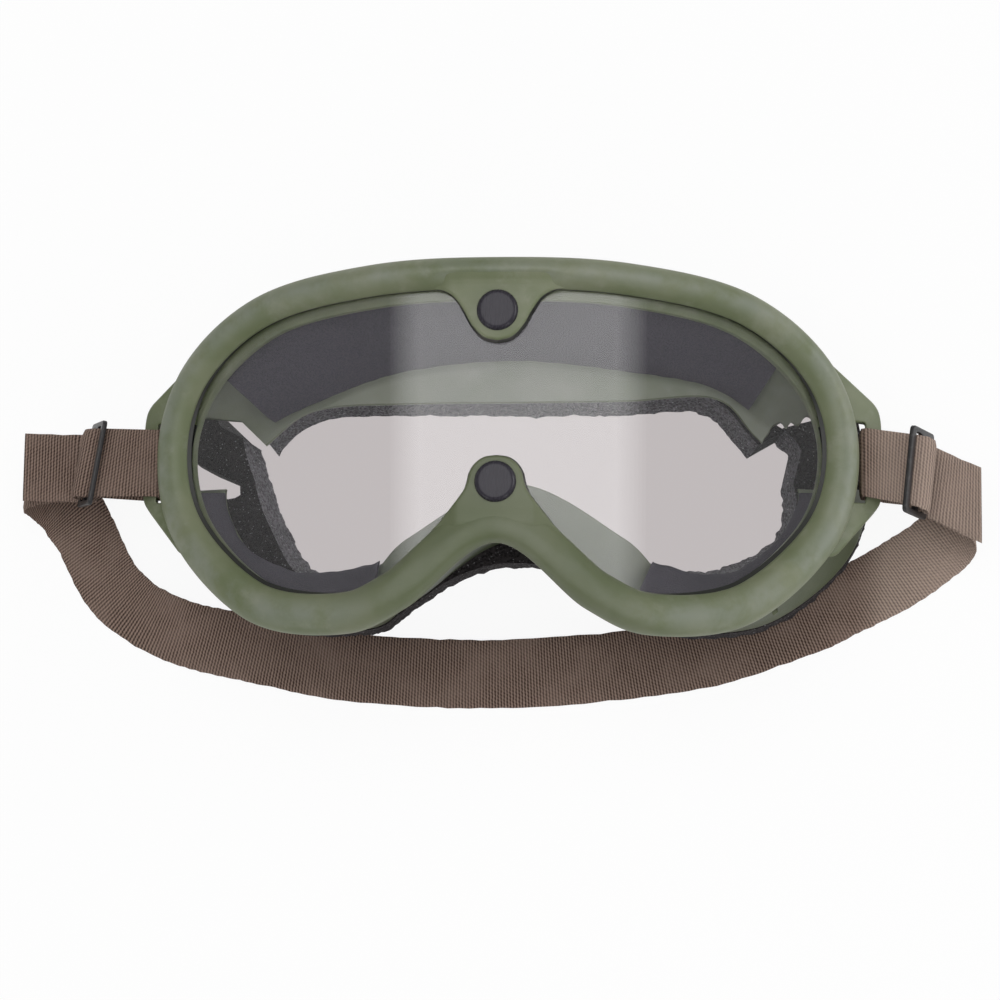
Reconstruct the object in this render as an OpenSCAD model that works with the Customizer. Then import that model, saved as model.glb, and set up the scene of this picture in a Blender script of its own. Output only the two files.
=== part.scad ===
// Dust goggles lying on their face foam with the lens upwards, and the headband laid round them.
// Left and right are as seen from the front: left is -X. +Y is the brow and +Z is where the lens faces.
// Lengths are millimetres. Loops of the frame are worked out from a few outline points.

/* [Lens] */
// Radius that the flat lens sheet is bowed to
bow_r = 165; // [155:1:185]
// Thickness of the lens sheet
lens_t = 1.3; // [1:0.1:1.8]
// Height of the front of the lens above the table, at its middle
lens_z = 57; // [55:0.5:62]

/* [Rim] */
// Width of the rim, measured round the bowed lens
rim_span = 189; // [182:1:196]
// Height of the top of the rim above the nose snap
brow_y = 57.2; // [55:0.2:61]
// Depth of the lowest point of each cheek below the nose snap
cheek_y = 37.4; // [36:0.2:40]
// Distance of the lowest point of each cheek from the middle
cheek_x = 39.4; // [38:0.2:42]
// Half width of the nose arch, low on its flank
arch_x = 22.3; // [21.5:0.1:23.5]
// Depth of the top of the nose arch below the nose snap
arch_y = 14.9; // [14.5:0.1:17]
// Width of the rolled rim at the brow
roll_top = 8.2; // [7.4:0.1:9]
// Width of the rolled rim at the cheeks
roll_low = 10.2; // [9.6:0.1:11]
// Height of the roll above the lens
roll_h = 4.6; // [4:0.1:5.4]
// Depth of the roll behind the front of the lens
roll_back = 4.2; // [3.8:0.1:5]
// Depth of the groove that holds the edge of the lens
groove = 2.8; // [2.2:0.1:3.2]
// How far the rear lip of the groove shows inside the front lip, at the brow
lip_show = 2.5; // [2:0.1:3]
// How far it shows at the temples and cheeks
lip_side = 0.6; // [0.4:0.1:1]
// Thickness of the rear lip and of the snap pads
lip_t = 2; // [1.6:0.1:2.4]
// Gap left round a part that sits in another
fit = 0.25; // [0.15:0.05:0.35]

/* [Body] */
// Thickness of the rubber wall and of the face flange
wall_t = 2; // [1.6:0.1:2.4]
// Radius of the face that the flange follows
face_r = 236; // [225:1:250]
// Height of the rear of the flange above the table, at the middle
face_z = 26; // [25:0.5:28]
// How far the soft rear edge leans to the right as the goggles lie
lean = 2.5; // [0:0.5:4]
// Upper end of the window in each temple, where wall and flange stop behind the lug
window_high = 22; // [21:0.5:24]
// Lower end of the window
window_low = 4.5; // [3.5:0.5:5.5]

/* [Vents] */
// Width of a vent slot
slot_w = 1.6; // [1.2:0.1:2]
// Length of a vent slot
slot_l = 6; // [4:0.5:7]
// Thickness of the vent foam
vent_foam_t = 2.6; // [2:0.1:3.2]
// How far the cheek vent foam stands out past the edge of the flange, low in the cheek
vent_over = 2.5; // [1.5:0.5:3]

/* [Face foam] */
// Thickness of the face foam before the table flattens it
foam_t = 11; // [10.5:0.25:12.5]
// How far the face foam stands out past the edge of the flange
foam_over = 0.3; // [0:0.1:1]
// How far the face foam stands out below the nose arch
nose_foam = 5.5; // [4:0.5:7]

/* [Snaps] */
// Distance of the top snap below the lip of the brow
snap_drop = 5.8; // [5.4:0.1:8]
// Diameter of a snap cap
cap_d = 10.4; // [9.6:0.1:11]
// Height of the crown of a snap cap
cap_h = 2; // [1.6:0.1:2.4]
// Diameter of the shank of a snap cap
shank_d = 2.4; // [2:0.1:3]
// Outer diameter of a snap socket
socket_d = 8.4; // [8:0.1:9]
// Diameter of the hollow of a snap socket
socket_bore = 5.4; // [5.2:0.1:6]
// Diameter of the head of a snap stud
stud_head_d = 3.6; // [3.2:0.1:3.8]
// Diameter of the neck of a snap stud
stud_neck_d = 3; // [2.6:0.1:3.1]
// Diameter of the foot of a snap stud
stud_foot_d = 7.6; // [7:0.1:8]
// Diameter of the rear flange of a snap post
post_d = 8; // [7:0.1:9]
// Diameter of the barrel of a snap post
post_barrel_d = 1.8; // [1.4:0.1:2]

/* [Lens tabs] */
// Thickness of the lens tabs
tab_t = 2.6; // [2.4:0.1:3]
// How far the top tab reaches past its snap centre
top_tab_end = 8.2; // [7:0.2:10]
// Half width of the top tab at its hinge
top_tab_root = 16; // [14:0.5:18]
// How far the nose tab reaches past its snap centre
nose_tab_end = 6.7; // [6.3:0.1:7.5]
// Half width of the nose tab at its hinge
nose_tab_root = 10; // [9.5:0.1:10.5]

/* [Strap lugs] */
// How far the tip of each lug stands out past the rim
lug_reach = 6.8; // [5.6:0.1:9]
// Thickness of a lug
lug_t = 3; // [2.6:0.1:3.4]
// Width of the bar outside the strap slot
lug_bar = 4.2; // [3.8:0.1:4.6]
// Width of the strap slot
lug_slot = 3.8; // [3.6:0.1:4.4]

/* [Headband] */
// Width of the webbing
web_w = 18; // [17.5:0.25:19]
// Thickness of the webbing
web_t = 1.2; // [1:0.1:1.3]
// Height of the middle of the webbing above the nose snap where it leaves a lug
web_y = 10; // [9:0.5:11]
// Distance from the left lug tip to its slide
slide_left_s = 13.6; // [12:0.2:15]
// Distance from the right lug tip to its slide
slide_right_s = 9.6; // [9:0.2:12]
// Length of the left free end beyond its slide
tail_left = 20; // [17:0.5:22]
// Distance from the tip of the left lug to the outside of the left fold of the headband
out_left = 35.8; // [34:0.2:40]
// Distance from the tip of the right lug to the end of the right free end
out_right = 25.8; // [25:0.2:30]
// Depth of the lowest edge of the laid headband below the nose snap
band_y = 51.6; // [50:0.2:56]

/* [Slides] */
// Width of each of the three bars
bar_w = 2.2; // [2:0.1:2.4]
// Thickness of the slide
slide_t = 1.2; // [1:0.1:1.4]
// Width of the side rails
rail_w = 1.5; // [1.2:0.1:1.8]
// Room at each edge of the webbing inside a slide
side_room = 0.7; // [0.4:0.1:1]
// Angle between a slide and the webbing
slide_tilt = 65; // [62:1:68]
// Turn of the left slide across its webbing
skew_left = 8; // [6:1:12]
// Turn of the right slide across its webbing
skew_right = 7; // [4:1:12]
// Slope of the right end of the webbing
droop_right = 13; // [8:1:16]
// Extra fall of the right free end past its slide, for each millimetre
bend_right = 0.25; // [0:0.05:0.3]
// Slope of the left end of the webbing
droop_left = -1; // [-4:1:0]

/* [Hidden] */
$fn = 48;
eps = 0.01;
rubber = "darkolivegreen";
webbing = "rosybrown";

// Half width of the rim round the bow, and how far the lugs and the headband reach from the middle
hw = rim_span / 2;
lug_x = bow_r * sin(hw / bow_r * 180 / PI) + lug_reach;
reach_left = lug_x + out_left;
reach_right = lug_x + out_right;

// The origin is the middle of the whole, on the table.
origin_x = (reach_left - reach_right) / 2;
origin_y = (band_y - brow_y) / 2;
module placed() {
    translate([origin_x, origin_y, 0]) children();
}

// General helpers
function mix(a, b, t) = a + (b - a) * t;
function reversed(list) = [for (i = [len(list) - 1:-1:0]) list[i]];
function ramp(t) = let(c = min(1, max(0, t))) c * c * (3 - 2 * c);
function unit(v) = v / norm(v);
function wrapped(list, i) = list[(i + len(list)) % len(list)];

// Smooth curve through points: the piece after point i, at t from 0 to 1
function spline(a, b, c, d, t) = 0.5 * ((2 * b) + (c - a) * t
    + (2 * a - 5 * b + 4 * c - d) * t * t + (3 * b - a - 3 * c + d) * t * t * t);
function closed_curve(k, steps) = [for (i = [0:len(k) - 1], j = [0:steps - 1])
    spline(wrapped(k, i - 1), k[i], wrapped(k, i + 1), wrapped(k, i + 2), j / steps)];
function open_curve(k, steps) = concat([for (i = [0:len(k) - 2], j = [0:steps - 1])
    spline(k[max(0, i - 1)], k[i], k[i + 1], k[min(len(k) - 1, i + 2)], j / steps)], [k[len(k) - 1]]);

// A right half and a left half of an outline, both given for +X, make a closed one
function two_halves(right, left) = concat(right, [for (i = [len(left) - 2:-1:1]) [-left[i][0], left[i][1]]]);
function both_halves(h) = two_halves(h, h);
function sums(a, b) = [for (i = [0:len(a) - 1]) a[i] + b[i]];

// A solid from a grid of rings; the ends are capped, or joined where closed is true
module ring_solid(rings, closed = false) {
    m = len(rings[0]);
    k = len(rings);
    last = closed ? k : k - 1;
    sides = [for (i = [0:last - 1], j = [0:m - 1])
        let(n = (j + 1) % m, far = ((i + 1) % k) * m, a = i * m + j, b = i * m + n, c = far + n, d = far + j)
        each [[a, b, c], [a, c, d]]];
    caps = closed ? [] : [[for (j = [m - 1:-1:0]) j], [for (j = [0:m - 1]) (k - 1) * m + j]];
    polyhedron([for (r = rings) each r], concat(sides, caps), convexity = 8);
}

// The bowed sheet: u runs round the bow, w is the height above the front of the lens
function on_bow(p, w) = let(a = p[0] / bow_r * 180 / PI, r = bow_r + w)
    [r * sin(a), p[1], lens_z - bow_r + r * cos(a)];
// Height of a bowed surface at a distance x from the middle
function bow_z(x, w) = lens_z - bow_r + sqrt(pow(bow_r + w, 2) - x * x);
// Height of the face that the flange lies on
function face_at(x) = face_z - face_r + sqrt(face_r * face_r - x * x);

// Outline of the rim, as points (u, y) from the middle of the brow round to the nose
half_rim = [[0, brow_y], [0.35 * hw, 0.98 * brow_y], [0.683 * hw, 0.87 * brow_y],
    [0.915 * hw, 0.59 * brow_y], [hw, 0.208 * brow_y], [0.934 * hw, -0.324 * cheek_y],
    [0.69 * hw, -0.888 * cheek_y], [cheek_x, -cheek_y], [arch_x, -0.83 * cheek_y], [0, -arch_y]];
steps = 5;
rim = closed_curve(both_halves(half_rim), steps);
stations = len(rim);
function normal_of(loop, i) = let(d = wrapped(loop, i + 1) - wrapped(loop, i - 1)) unit([-d[1], d[0]]);
function roll_w(y) = mix(roll_top, roll_low, (brow_y - y) / (brow_y + cheek_y));
// A point of the section at station i: r in from the outside of the rim, w above the lens
function in_from(i, r) = rim[i] - r * normal_of(rim, i);
function lip_pt(i, r) = in_from(i, roll_w(rim[i][1]) + r);

// Plan of the rear of the body: corner of wall and flange, edge of the flange, edge of the foam. The soft
// rear lies unevenly, so each is given for the right and for the left.
plan_half = [for (p = half_rim) let(q = on_bow(p, -roll_back)) [q[0], q[1]]];
to_corner_right = [[0, -19.7], [-2.5, -21.5], [-10.8, -18.6], [-13.6, -12.7], [1.6, -3.9],
    [3.7, -0.4], [2.4, 2.4], [0.5, 4.2], [4.1, 5], [0, 4.4]];
to_corner_left = [[0, -19.7], [-2.5, -21.5], [-11.3, -22.2], [-13.6, -12.7], [1.6, -3.9],
    [3.7, -0.4], [2.4, 2.4], [0.5, 4.2], [4.1, 5], [0, 4.4]];
to_edge_right = [[0, -12.2], [-1.6, -8.6], [0, -3.8], [-6.4, -2.6], [-16.7, -3.5],
    [-18.7, 3], [-8, 10.3], [0.4, 13.7], [1.7, 16.5], [0, 14.6]];
to_edge_left = [[0, -12.2], [-1, -9.3], [3, -3.2], [-1.4, -4.6], [-11.4, -3.4],
    [-14.2, 1.3], [-5.3, 10.3], [0.4, 13.7], [1.7, 16.5], [0, 14.6]];
to_foam_right = [[0, -1.6], [-1, -1.6], [-3.3, -2.2], [-2.4, -3.5], [-4.5, 1],
    [-0.9, 2.5], [-3.8, 5.3], [-1.5, 3.8], [-0.5, -0.8], [0, -1.2]];
to_foam_left = [[0, -1.6], [-2, -1.1], [-0.4, -0.7], [-0.9, -0.8], [-11.2, 1.4],
    [-10.5, 4.6], [-5.7, 3.7], [-0.4, 4.1], [-0.5, -0.8], [0, -1.2]];
corner_right = sums(plan_half, to_corner_right);
corner_left = sums(plan_half, to_corner_left);
edge_right = sums(corner_right, to_edge_right);
edge_left = sums(corner_left, to_edge_left);
function rear_loop(right, left) = [for (p = closed_curve(two_halves(right, left), steps)) p + [lean, 0]];
corner = rear_loop(corner_right, corner_left);
edge = rear_loop(edge_right, edge_left);
foam_edge = rear_loop(sums(edge_right, to_foam_right), sums(edge_left, to_foam_left));
// A point of a rear loop, r out from it and z above the rear of the flange
function rear_pt(loop, i, r, z) = let(p = loop[i] + r * normal_of(loop, i)) [p[0], p[1], face_at(p[0]) + z];

// Groove for the lens
groove_back = -(lens_t + fit);
groove_front = fit;

// How far the rear lip shows at station i
function lip_in(i) = mix(lip_side, lip_show, ramp((rim[i][1] / brow_y - 0.1) / 0.7));

// Section of the frame at station i, round the roll, down the wall, along the flange and back
function wall_out(i, t) = mix(on_bow(in_from(i, 2), -roll_back), rear_pt(corner, i, 0, wall_t), t);
function wall_in(i, t) = mix(on_bow(in_from(i, 2 + wall_t), groove_back - lip_t),
    rear_pt(corner, i, -wall_t, wall_t), t);
function frame_ring(i) = concat(
    [for (p = [[0, groove_front], [0.1, 1.2], [-0.9, 2.6], [-2.4, 3.9]]) on_bow(lip_pt(i, p[0]), p[1])],
    [on_bow(in_from(i, roll_w(rim[i][1]) / 2), roll_h)],
    [for (p = [[2.4, 4], [0.8, 2.6], [0, 0.8], [0.1, -1.2], [0.9, -3]]) on_bow(in_from(i, p[0]), p[1])],
    [wall_out(i, 0), wall_out(i, 0.5), wall_out(i, 1)],
    [rear_pt(corner, i, 0, 0), rear_pt(edge, i, 0, 0), rear_pt(edge, i, 0, wall_t)],
    [wall_in(i, 1), wall_in(i, 0.5), wall_in(i, 0)],
    [on_bow(lip_pt(i, lip_in(i)), groove_back - lip_t), on_bow(lip_pt(i, lip_in(i)), groove_back)],
    [on_bow(lip_pt(i, -groove), groove_back), on_bow(lip_pt(i, -groove), groove_front)]);

// The space between two bowed surfaces
module bow_shell(w_low, w_high) {
    translate([0, 0, lens_z - bow_r])
        rotate([-90, 0, 0])
            difference() {
                cylinder(h = 4 * brow_y, r = bow_r + w_high, center = true, $fn = 180);
                cylinder(h = 4 * brow_y + 2, r = bow_r + w_low, center = true, $fn = 180);
            }
}

// A plate of the bowed shell with the plan outline that its child gives
module bow_plate(w_low, w_high) {
    intersection() {
        bow_shell(w_low, w_high);
        linear_extrude(2 * lens_z) children();
    }
}

lip_line_top = brow_y - roll_top;
snap_pitch = lip_line_top - snap_drop;
snap_y = [snap_pitch, 0];
pad_r = cap_d / 2 + 1.6;
lip_line_nose = -arch_y + roll_w(-arch_y);

// Pads behind the lens that carry the snap studs, set a little inside both faces of the lip
pad_set = 0.1;
module snap_pads() {
    bow_plate(groove_back - lip_t + pad_set, groove_back - pad_set) {
        for (y = snap_y)
            translate([0, y]) circle(r = pad_r);
        translate([-pad_r, snap_pitch]) square([2 * pad_r, lip_line_top + groove - snap_pitch]);
        translate([-pad_r, lip_line_nose - groove]) square([2 * pad_r, -lip_line_nose + groove]);
    }
}

// Strap lugs behind the ends of the rim, each with a slot for the webbing
lug_top = -roll_back + 0.8;
slot_len = web_w + 2.8;
module lug(side) {
    first = 2 * steps + 3;
    tail = 5 * steps + 1;
    root = [for (i = [tail:-1:first]) let(p = on_bow(in_from(i, 4), lug_top)) [p[0], p[1]]];
    difference() {
        bow_plate(lug_top - lug_t, lug_top)
            scale([side, 1])
                polygon(concat(root, [[0.8 * lug_x, 0.7 * brow_y],
                    [lug_x - 1, web_y + slot_len / 2 + 4.6], [lug_x, web_y + slot_len / 2 + 1],
                    [lug_x, web_y - slot_len / 2 + 1], [lug_x - 1.6, web_y - slot_len / 2 - 1.6],
                    [0.873 * lug_x, -0.4 * cheek_y]]));
        translate([side * (lug_x - lug_bar - lug_slot / 2), web_y, 0])
            translate([-lug_slot / 2, -slot_len / 2, 0]) cube([lug_slot, slot_len, lens_z]);
    }
}

// Vent slots through the wall: the station, and where down the wall
brow_slots = [for (i = [2:2:12]) each [i, stations - i]];
cheek_slots = [for (i = [29:2:41]) each [i, stations - i]];
module vent_slot(i) {
    a = wall_out(i, 0.55);
    b = wall_in(i, 0.55);
    d = b - a;
    yaw = atan2(d[1], d[0]);
    rise = atan2(d[2], norm([d[0], d[1]]));
    translate((a + b) / 2)
        rotate([0, -rise, yaw])
            cube([wall_t + 6, slot_w, slot_l], center = true);
}

// The window in each temple ends the brow flange in a point and leaves the roll and the lug whole
module temple_window(side) {
    intersection() {
        bow_shell(-2 * face_z, lug_top - lug_t - 1);
        linear_extrude(lens_z)
            scale([side, 1])
                polygon([[0.63 * lug_x, window_low], [0.63 * lug_x, window_high - 9],
                    [0.66 * lug_x, window_high - 7], [0.73 * lug_x, window_high - 0.5],
                    [1.1 * lug_x, window_high + 0.5], [1.1 * lug_x, window_low]]);
    }
}

module frame() {
    placed() color(rubber)
        difference() {
            union() {
                ring_solid([for (i = [0:stations - 1]) frame_ring(i)], true);
                snap_pads();
                lug(-1);
                lug(1);
            }
            for (y = snap_y)
                translate([0, y, lens_z - 8]) cylinder(h = 8, d = post_barrel_d + 2 * fit);
            for (i = concat([0], brow_slots, cheek_slots)) vent_slot(i);
            for (side = [-1, 1]) temple_window(side);
        }
}

// Outline of the lens in plan: its rear edge stays clear of the bottom of the groove
function lens_edge(i) = let(p = lip_pt(i, -(groove - fit)), q = on_bow(p, -lens_t)) [q[0], q[1]];
hole_d = stud_foot_d + 4 * fit;
module lens() {
    placed() color("lightgrey", 0.4)
        difference() {
            bow_plate(-lens_t, 0)
                polygon([for (i = [0:stations - 1]) lens_edge(i)]);
            for (y = snap_y)
                translate([0, y, lens_z - 6]) cylinder(h = 12, d = hole_d);
        }
}

// Stack of a snap, as heights above the front of the lens
tab_low = groove_front;
tab_high = tab_low + tab_t;
recess_top = tab_high - 0.7;
foot_low = groove_back;
foot_t = 0.8;
head_top = foot_low + foot_t + 1.9;

// Tabs fold over the lens; each is hinged at the lip of the rim
top_hinge_y = lip_line_top - fit;
nose_hinge_y = lip_line_nose + fit;
module tab_plate(outline, y) {
    difference() {
        translate([0, 0, lens_z + tab_low]) linear_extrude(tab_t) polygon(outline);
        translate([0, y, lens_z + tab_low - eps])
            cylinder(h = recess_top - tab_low, d = socket_d + 2 * fit);
        translate([0, y, lens_z]) cylinder(h = tab_high + 1, d = shank_d + 2 * fit);
    }
}
function tab_half(root, tip, r) = [[root, 0], [0.79 * root, 0.06 * tip], [1.12 * r, 0.17 * tip],
    [0.86 * r, 0.44 * tip], [0.59 * r, 0.74 * tip], [0.31 * r, 0.93 * tip], [0, tip]];
function tab_outline(root, tip, r) = let(h = open_curve(tab_half(root, tip, r), 4))
    concat(h, [for (i = [len(h) - 2:-1:0]) [-h[i][0], h[i][1]]]);
top_tip = top_hinge_y - snap_pitch + top_tab_end;
nose_tip = nose_tab_end - nose_hinge_y;

module top_lens_tab() {
    placed() color(rubber)
        tab_plate([for (p = tab_outline(top_tab_root, top_tip, pad_r + 3))
            [p[0], top_hinge_y - p[1]]], snap_pitch);
}

module nose_lens_tab() {
    nose_outline = [[nose_tab_root, 0], [0.97 * nose_tab_root, 0.22 * nose_tip],
        [0.83 * nose_tab_root, 0.5 * nose_tip], [0.64 * nose_tab_root, 0.76 * nose_tip],
        [0.35 * nose_tab_root, 0.95 * nose_tip], [0, nose_tip]];
    half = open_curve(nose_outline, 4);
    placed() color(rubber)
        tab_plate([for (p = concat(half, [for (i = [len(half) - 2:-1:0]) [-half[i][0], half[i][1]]]))
            [p[0], nose_hinge_y + p[1]]], 0);
}

// The four pieces of a snap, each turned about the snap's own axis
module snap_cap(y) {
    crown_r = (pow(cap_d / 2, 2) + cap_h * cap_h) / (2 * cap_h);
    placed() translate([0, y, lens_z])
        color("dimgray") {
            translate([0, 0, tab_high])
                rotate_extrude()
                    intersection() {
                        translate([0, cap_h - crown_r]) circle(r = crown_r, $fn = 96);
                        square([cap_d / 2 - 0.3, cap_h]);
                    }
            translate([0, 0, tab_high]) cylinder(h = 0.5, d = cap_d);
            translate([0, 0, recess_top - 0.5]) cylinder(h = tab_high - recess_top + 0.6, d = shank_d);
        }
}

module snap_socket(y) {
    placed() color("silver")
        translate([0, y, lens_z + tab_low])
            difference() {
                cylinder(h = recess_top - tab_low - 0.1, d = socket_d);
                translate([0, 0, -eps]) cylinder(h = recess_top - tab_low - 0.6, d = socket_bore);
                cylinder(h = tab_high, d = shank_d + 0.1);
            }
}

module snap_stud(y) {
    placed() color("silver")
        translate([0, y, lens_z + foot_low])
            difference() {
                union() {
                    cylinder(h = foot_t, d = stud_foot_d);
                    cylinder(h = head_top - foot_low - 0.4, d = stud_neck_d);
                    translate([0, 0, head_top - foot_low - 0.9]) cylinder(h = 0.9, d = stud_head_d);
                }
                translate([0, 0, -eps]) cylinder(h = head_top - foot_low - 0.5, d = post_barrel_d + 0.1);
            }
}

module snap_post(y) {
    placed() color("silver")
        translate([0, y, lens_z + groove_back - lip_t]) {
            translate([0, 0, -0.7 - fit / 2]) cylinder(h = 0.7, d = post_d);
            translate([0, 0, -0.3 - fit / 2]) cylinder(h = lip_t + 1.6, d = post_barrel_d);
        }
}

// A strip of vent foam on the inside of the wall, from station a to station b
vent_gap = 2 * fit;
function wall_normal(i) = unit(cross(wall_in(i, 1) - wall_in(i, 0),
    wall_in((i + 1) % stations, 0.5) - wall_in((i - 1 + stations) % stations, 0.5)));
function vent_ring(i, low, high) = let(n = wall_normal(i), depths = [low, 0.5, high])
    concat([for (t = depths) wall_in(i, t) + n * vent_gap],
        [for (t = reversed(depths)) wall_in(i, t) + n * (vent_gap + vent_foam_t)]);
module vent_foam(a, b, low, high) {
    placed() color("dimgray")
        ring_solid([for (i = [a:b]) vent_ring((i + stations) % stations, low, high)]);
}

// In the cheeks a strip spans from the rear lip to the edge of the flange. Its upper end is cut square, so
// the ends of its two edges lie at different stations.
cheek_vent_top = 4 * steps + 1;
cheek_vent_end = 7 * steps + 2;
function between(loop, s) = mix(wrapped(loop, floor(s)), wrapped(loop, ceil(s)), s - floor(s));
function under_lip(drop) = [for (i = [0:stations - 1])
    on_bow(in_from(i, 2 + wall_t + vent_gap), groove_back - lip_t - vent_gap - drop)];
function vent_out(q) = vent_over * ramp((q - cheek_vent_top - 3) / 5) * ramp((cheek_vent_end + 1 - q) / 3);
function on_flange(rise) = [for (i = [0:stations - 1])
    rear_pt(edge, i, -vent_out(min(i, stations - i)), wall_t + vent_gap + rise)];
lip_lines = [under_lip(0), under_lip(1.2 * vent_foam_t)];
flange_lines = [on_flange(0), on_flange(0.8 * vent_foam_t)];
function cheek_vent_ring(q, side) = let(skew = min(1, (cheek_vent_top + 3 - q) / 3),
    at_lip = side * (q + 1.4 * max(0, skew)), at_flange = side * (q - 0.5 * max(0, skew)))
    [between(lip_lines[0], at_lip), between(lip_lines[1], at_lip),
        between(flange_lines[0], at_flange), between(flange_lines[1], at_flange)];
module cheek_vent_foam(side) {
    rings = [for (q = [cheek_vent_top:cheek_vent_end]) cheek_vent_ring(q, side)];
    placed() color("dimgray") ring_solid(side > 0 ? rings : reversed(rings));
}

// Face foam: strips under the flange. The table flattens them at the temples, and the headband passes
// beneath them at the cheeks.
across = [0, 0.15, 0.3, 0.55, 0.8, 1];
function slope(loop, s) = normal_of(loop, round(s) % stations);
function under(y) = (web_t + 4 * fit) * ramp((-8 - y) / 6);
function nose_out(p) = p[1] > 0 ? 0 : nose_foam * (1 - ramp(abs(p[0] - lean) / arch_x));
function foam_pt(s, t, z, swung) = let(c = between(corner, s),
    a = c + (foam_over + nose_out(c)) * slope(corner, s),
    p = mix(a, between(foam_edge, s), t) + (swung ? swing(s, t) : [0, 0]))
    [p[0], p[1], max(under(p[1]), face_at(p[0]) + z)];
function foam_ring(s, swung) = concat([for (t = across) foam_pt(s, t, -foam_t, swung)],
    [for (t = reversed(across)) foam_pt(s, t, -fit, swung)]);
module face_foam(list, swung) {
    placed() color([0.25, 0.24, 0.25])
        ring_solid([for (s = list) foam_ring(s, swung)]);
}

// The brow strip ends in a point short of each temple. There the cheek strip starts, swung out and up into
// the window; on the right the swing ends in a notch.
brow_end = 3 * steps + 0.5;
swing_start = 3 * steps + 2;
swing_end = 4 * steps;
notch = 0.4;
function lift(q, reach) = min(1, max(0, (swing_end - q) / reach));
function swing(s, t) = let(right = s < stations / 2, q = right ? s : stations - s,
    d = mix([11, 5.6] * lift(q, 3), [3.8, 4.5] * lift(q, right ? notch : 3), t)) [right ? d[0] : -d[0], d[1]];
brow_list = concat([-brow_end], [for (i = [1 - swing_start + 1:swing_start - 2]) i], [brow_end]);
cheek_half = concat([for (i = [swing_start:swing_end - 1]) i], [swing_end - notch]);
cheek_list = concat(cheek_half, [for (i = [swing_end:stations - swing_end]) i],
    [for (q = reversed(cheek_half)) stations - q]);

module top_snap_cap() { snap_cap(snap_pitch); }
module top_snap_socket() { snap_socket(snap_pitch); }
module top_snap_stud() { snap_stud(snap_pitch); }
module top_snap_post() { snap_post(snap_pitch); }
module nose_snap_cap() { snap_cap(0); }
module nose_snap_socket() { snap_socket(0); }
module nose_snap_stud() { snap_stud(0); }
module nose_snap_post() { snap_post(0); }

module brow_vent_foam() { vent_foam(-14, 13, 0.1, 0.9); }
module left_cheek_vent_foam() { cheek_vent_foam(-1); }
module right_cheek_vent_foam() { cheek_vent_foam(1); }
module brow_face_foam() { face_foam(brow_list, false); }
module cheek_face_foam() { face_foam(cheek_list, true); }

// Strap ends, as seen along a bar: s runs out from the tip of a lug, h up from the middle of its bar
lug_mid = bow_z(lug_x - lug_bar / 2, lug_top - lug_t / 2);
bar_e = [cos(slide_tilt), -sin(slide_tilt)];
inner_turn = bar_w / 2 + web_t / 2 + 0.3;
outer_turn = inner_turn + web_t + 0.2;
bar_pitch = inner_turn + outer_turn + 2 * fit;
slide_h = 0.7;
main_h = slide_h - bar_pitch * sin(slide_tilt) - (bar_pitch - inner_turn);
tail_h = slide_h - bar_pitch * sin(slide_tilt) - (bar_pitch - outer_turn);
clear_of_bar = web_t / 2 + fit;
cut_s = 6;
function arc(c, r, a, b, n) = [for (j = [0:n]) c + r * [cos(mix(a, b, j / n)), sin(mix(a, b, j / n))]];
// One layer of webbing through a slide at s0: over the middle bar at radius r, then under the outer bar
function threaded(s0, r, start) = concat(arc([s0, slide_h], r, start, -slide_tilt, 8),
    arc([s0, slide_h] + bar_pitch * bar_e, bar_pitch - r, 200 - slide_tilt, 270, 7));
// Round the bar of a lug, from its outer rear corner to its front
function bar_top(s) = bow_z(lug_x + s, lug_top) - lug_mid;
function bar_low(s) = bow_z(lug_x + s, lug_top - lug_t) - lug_mid;
function round_lug() = let(g = clear_of_bar) [[0.6, bar_low(0) - g - 0.4],
    [-0.6 * g, bar_low(0) - 0.85 * g], [-lug_bar - 0.6 * g, bar_low(-lug_bar) - 0.85 * g],
    [-lug_bar - g, bar_low(-lug_bar) + 0.2], [-lug_bar - g, bar_top(-lug_bar) - 0.2],
    [-lug_bar - 0.7 * g, bar_top(-lug_bar) + 0.75 * g], [-lug_bar + 0.2, bar_top(-lug_bar) + g]];
// Whole run of a strap end: s0 is the slide at this edge of the webbing, s1 the slide at its middle
function end_path(s0, s1, s_end) = concat([[s1 + cut_s, main_h]],
    reversed(threaded(s0, inner_turn, 122)), round_lug(), threaded(s0, outer_turn, 105),
    [[mix(s1, s_end, 0.5), tail_h + 0.1], [mix(s1, s_end, 0.8), tail_h + 0.4], [s_end, tail_h + 0.9]]);
function end_pt(p, v, droop, bend = 0) = let(a = p[0] > 0 ? droop : 0, b = droop * ramp(p[0] / 5),
    drop = bend == 0 ? 0 : bend * max(0, p[0] - slide_right_s - bar_w))
    [lug_x + p[0] * cos(a) + v * sin(b), web_y - p[0] * sin(a) - drop + v * cos(b), lug_mid + p[1]];
// Normals of a path, so that the webbing has its thickness
function along(path, i) = path[min(i + 1, len(path) - 1)] - path[max(i - 1, 0)];
function path_normal(path, i) = let(d = along(path, i)) unit([-d[1], d[0]]);
function strap_ring(low, high, i, droop, bend) = let(a = web_t / 2 * path_normal(low, i),
    b = web_t / 2 * path_normal(high, i))
    [end_pt(low[i] - a, -web_w / 2, droop, bend), end_pt(low[i] + a, -web_w / 2, droop, bend),
     end_pt(high[i] + b, web_w / 2, droop, bend), end_pt(high[i] - b, web_w / 2, droop, bend)];
module strap_end(s0, skew, droop, tail, bend = 0) {
    shift = web_w / 2 * tan(skew);
    cut = web_w / 2 * tan(droop);
    low = end_path(s0 + shift, s0, s0 + tail + cut);
    high = end_path(s0 - shift, s0, s0 + tail - cut);
    color(webbing)
        ring_solid([for (i = [0:len(low) - 1]) strap_ring(low, high, i, droop, bend)]);
}
tail_right = (reach_right - lug_x) / cos(droop_right) - slide_right_s;

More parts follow.
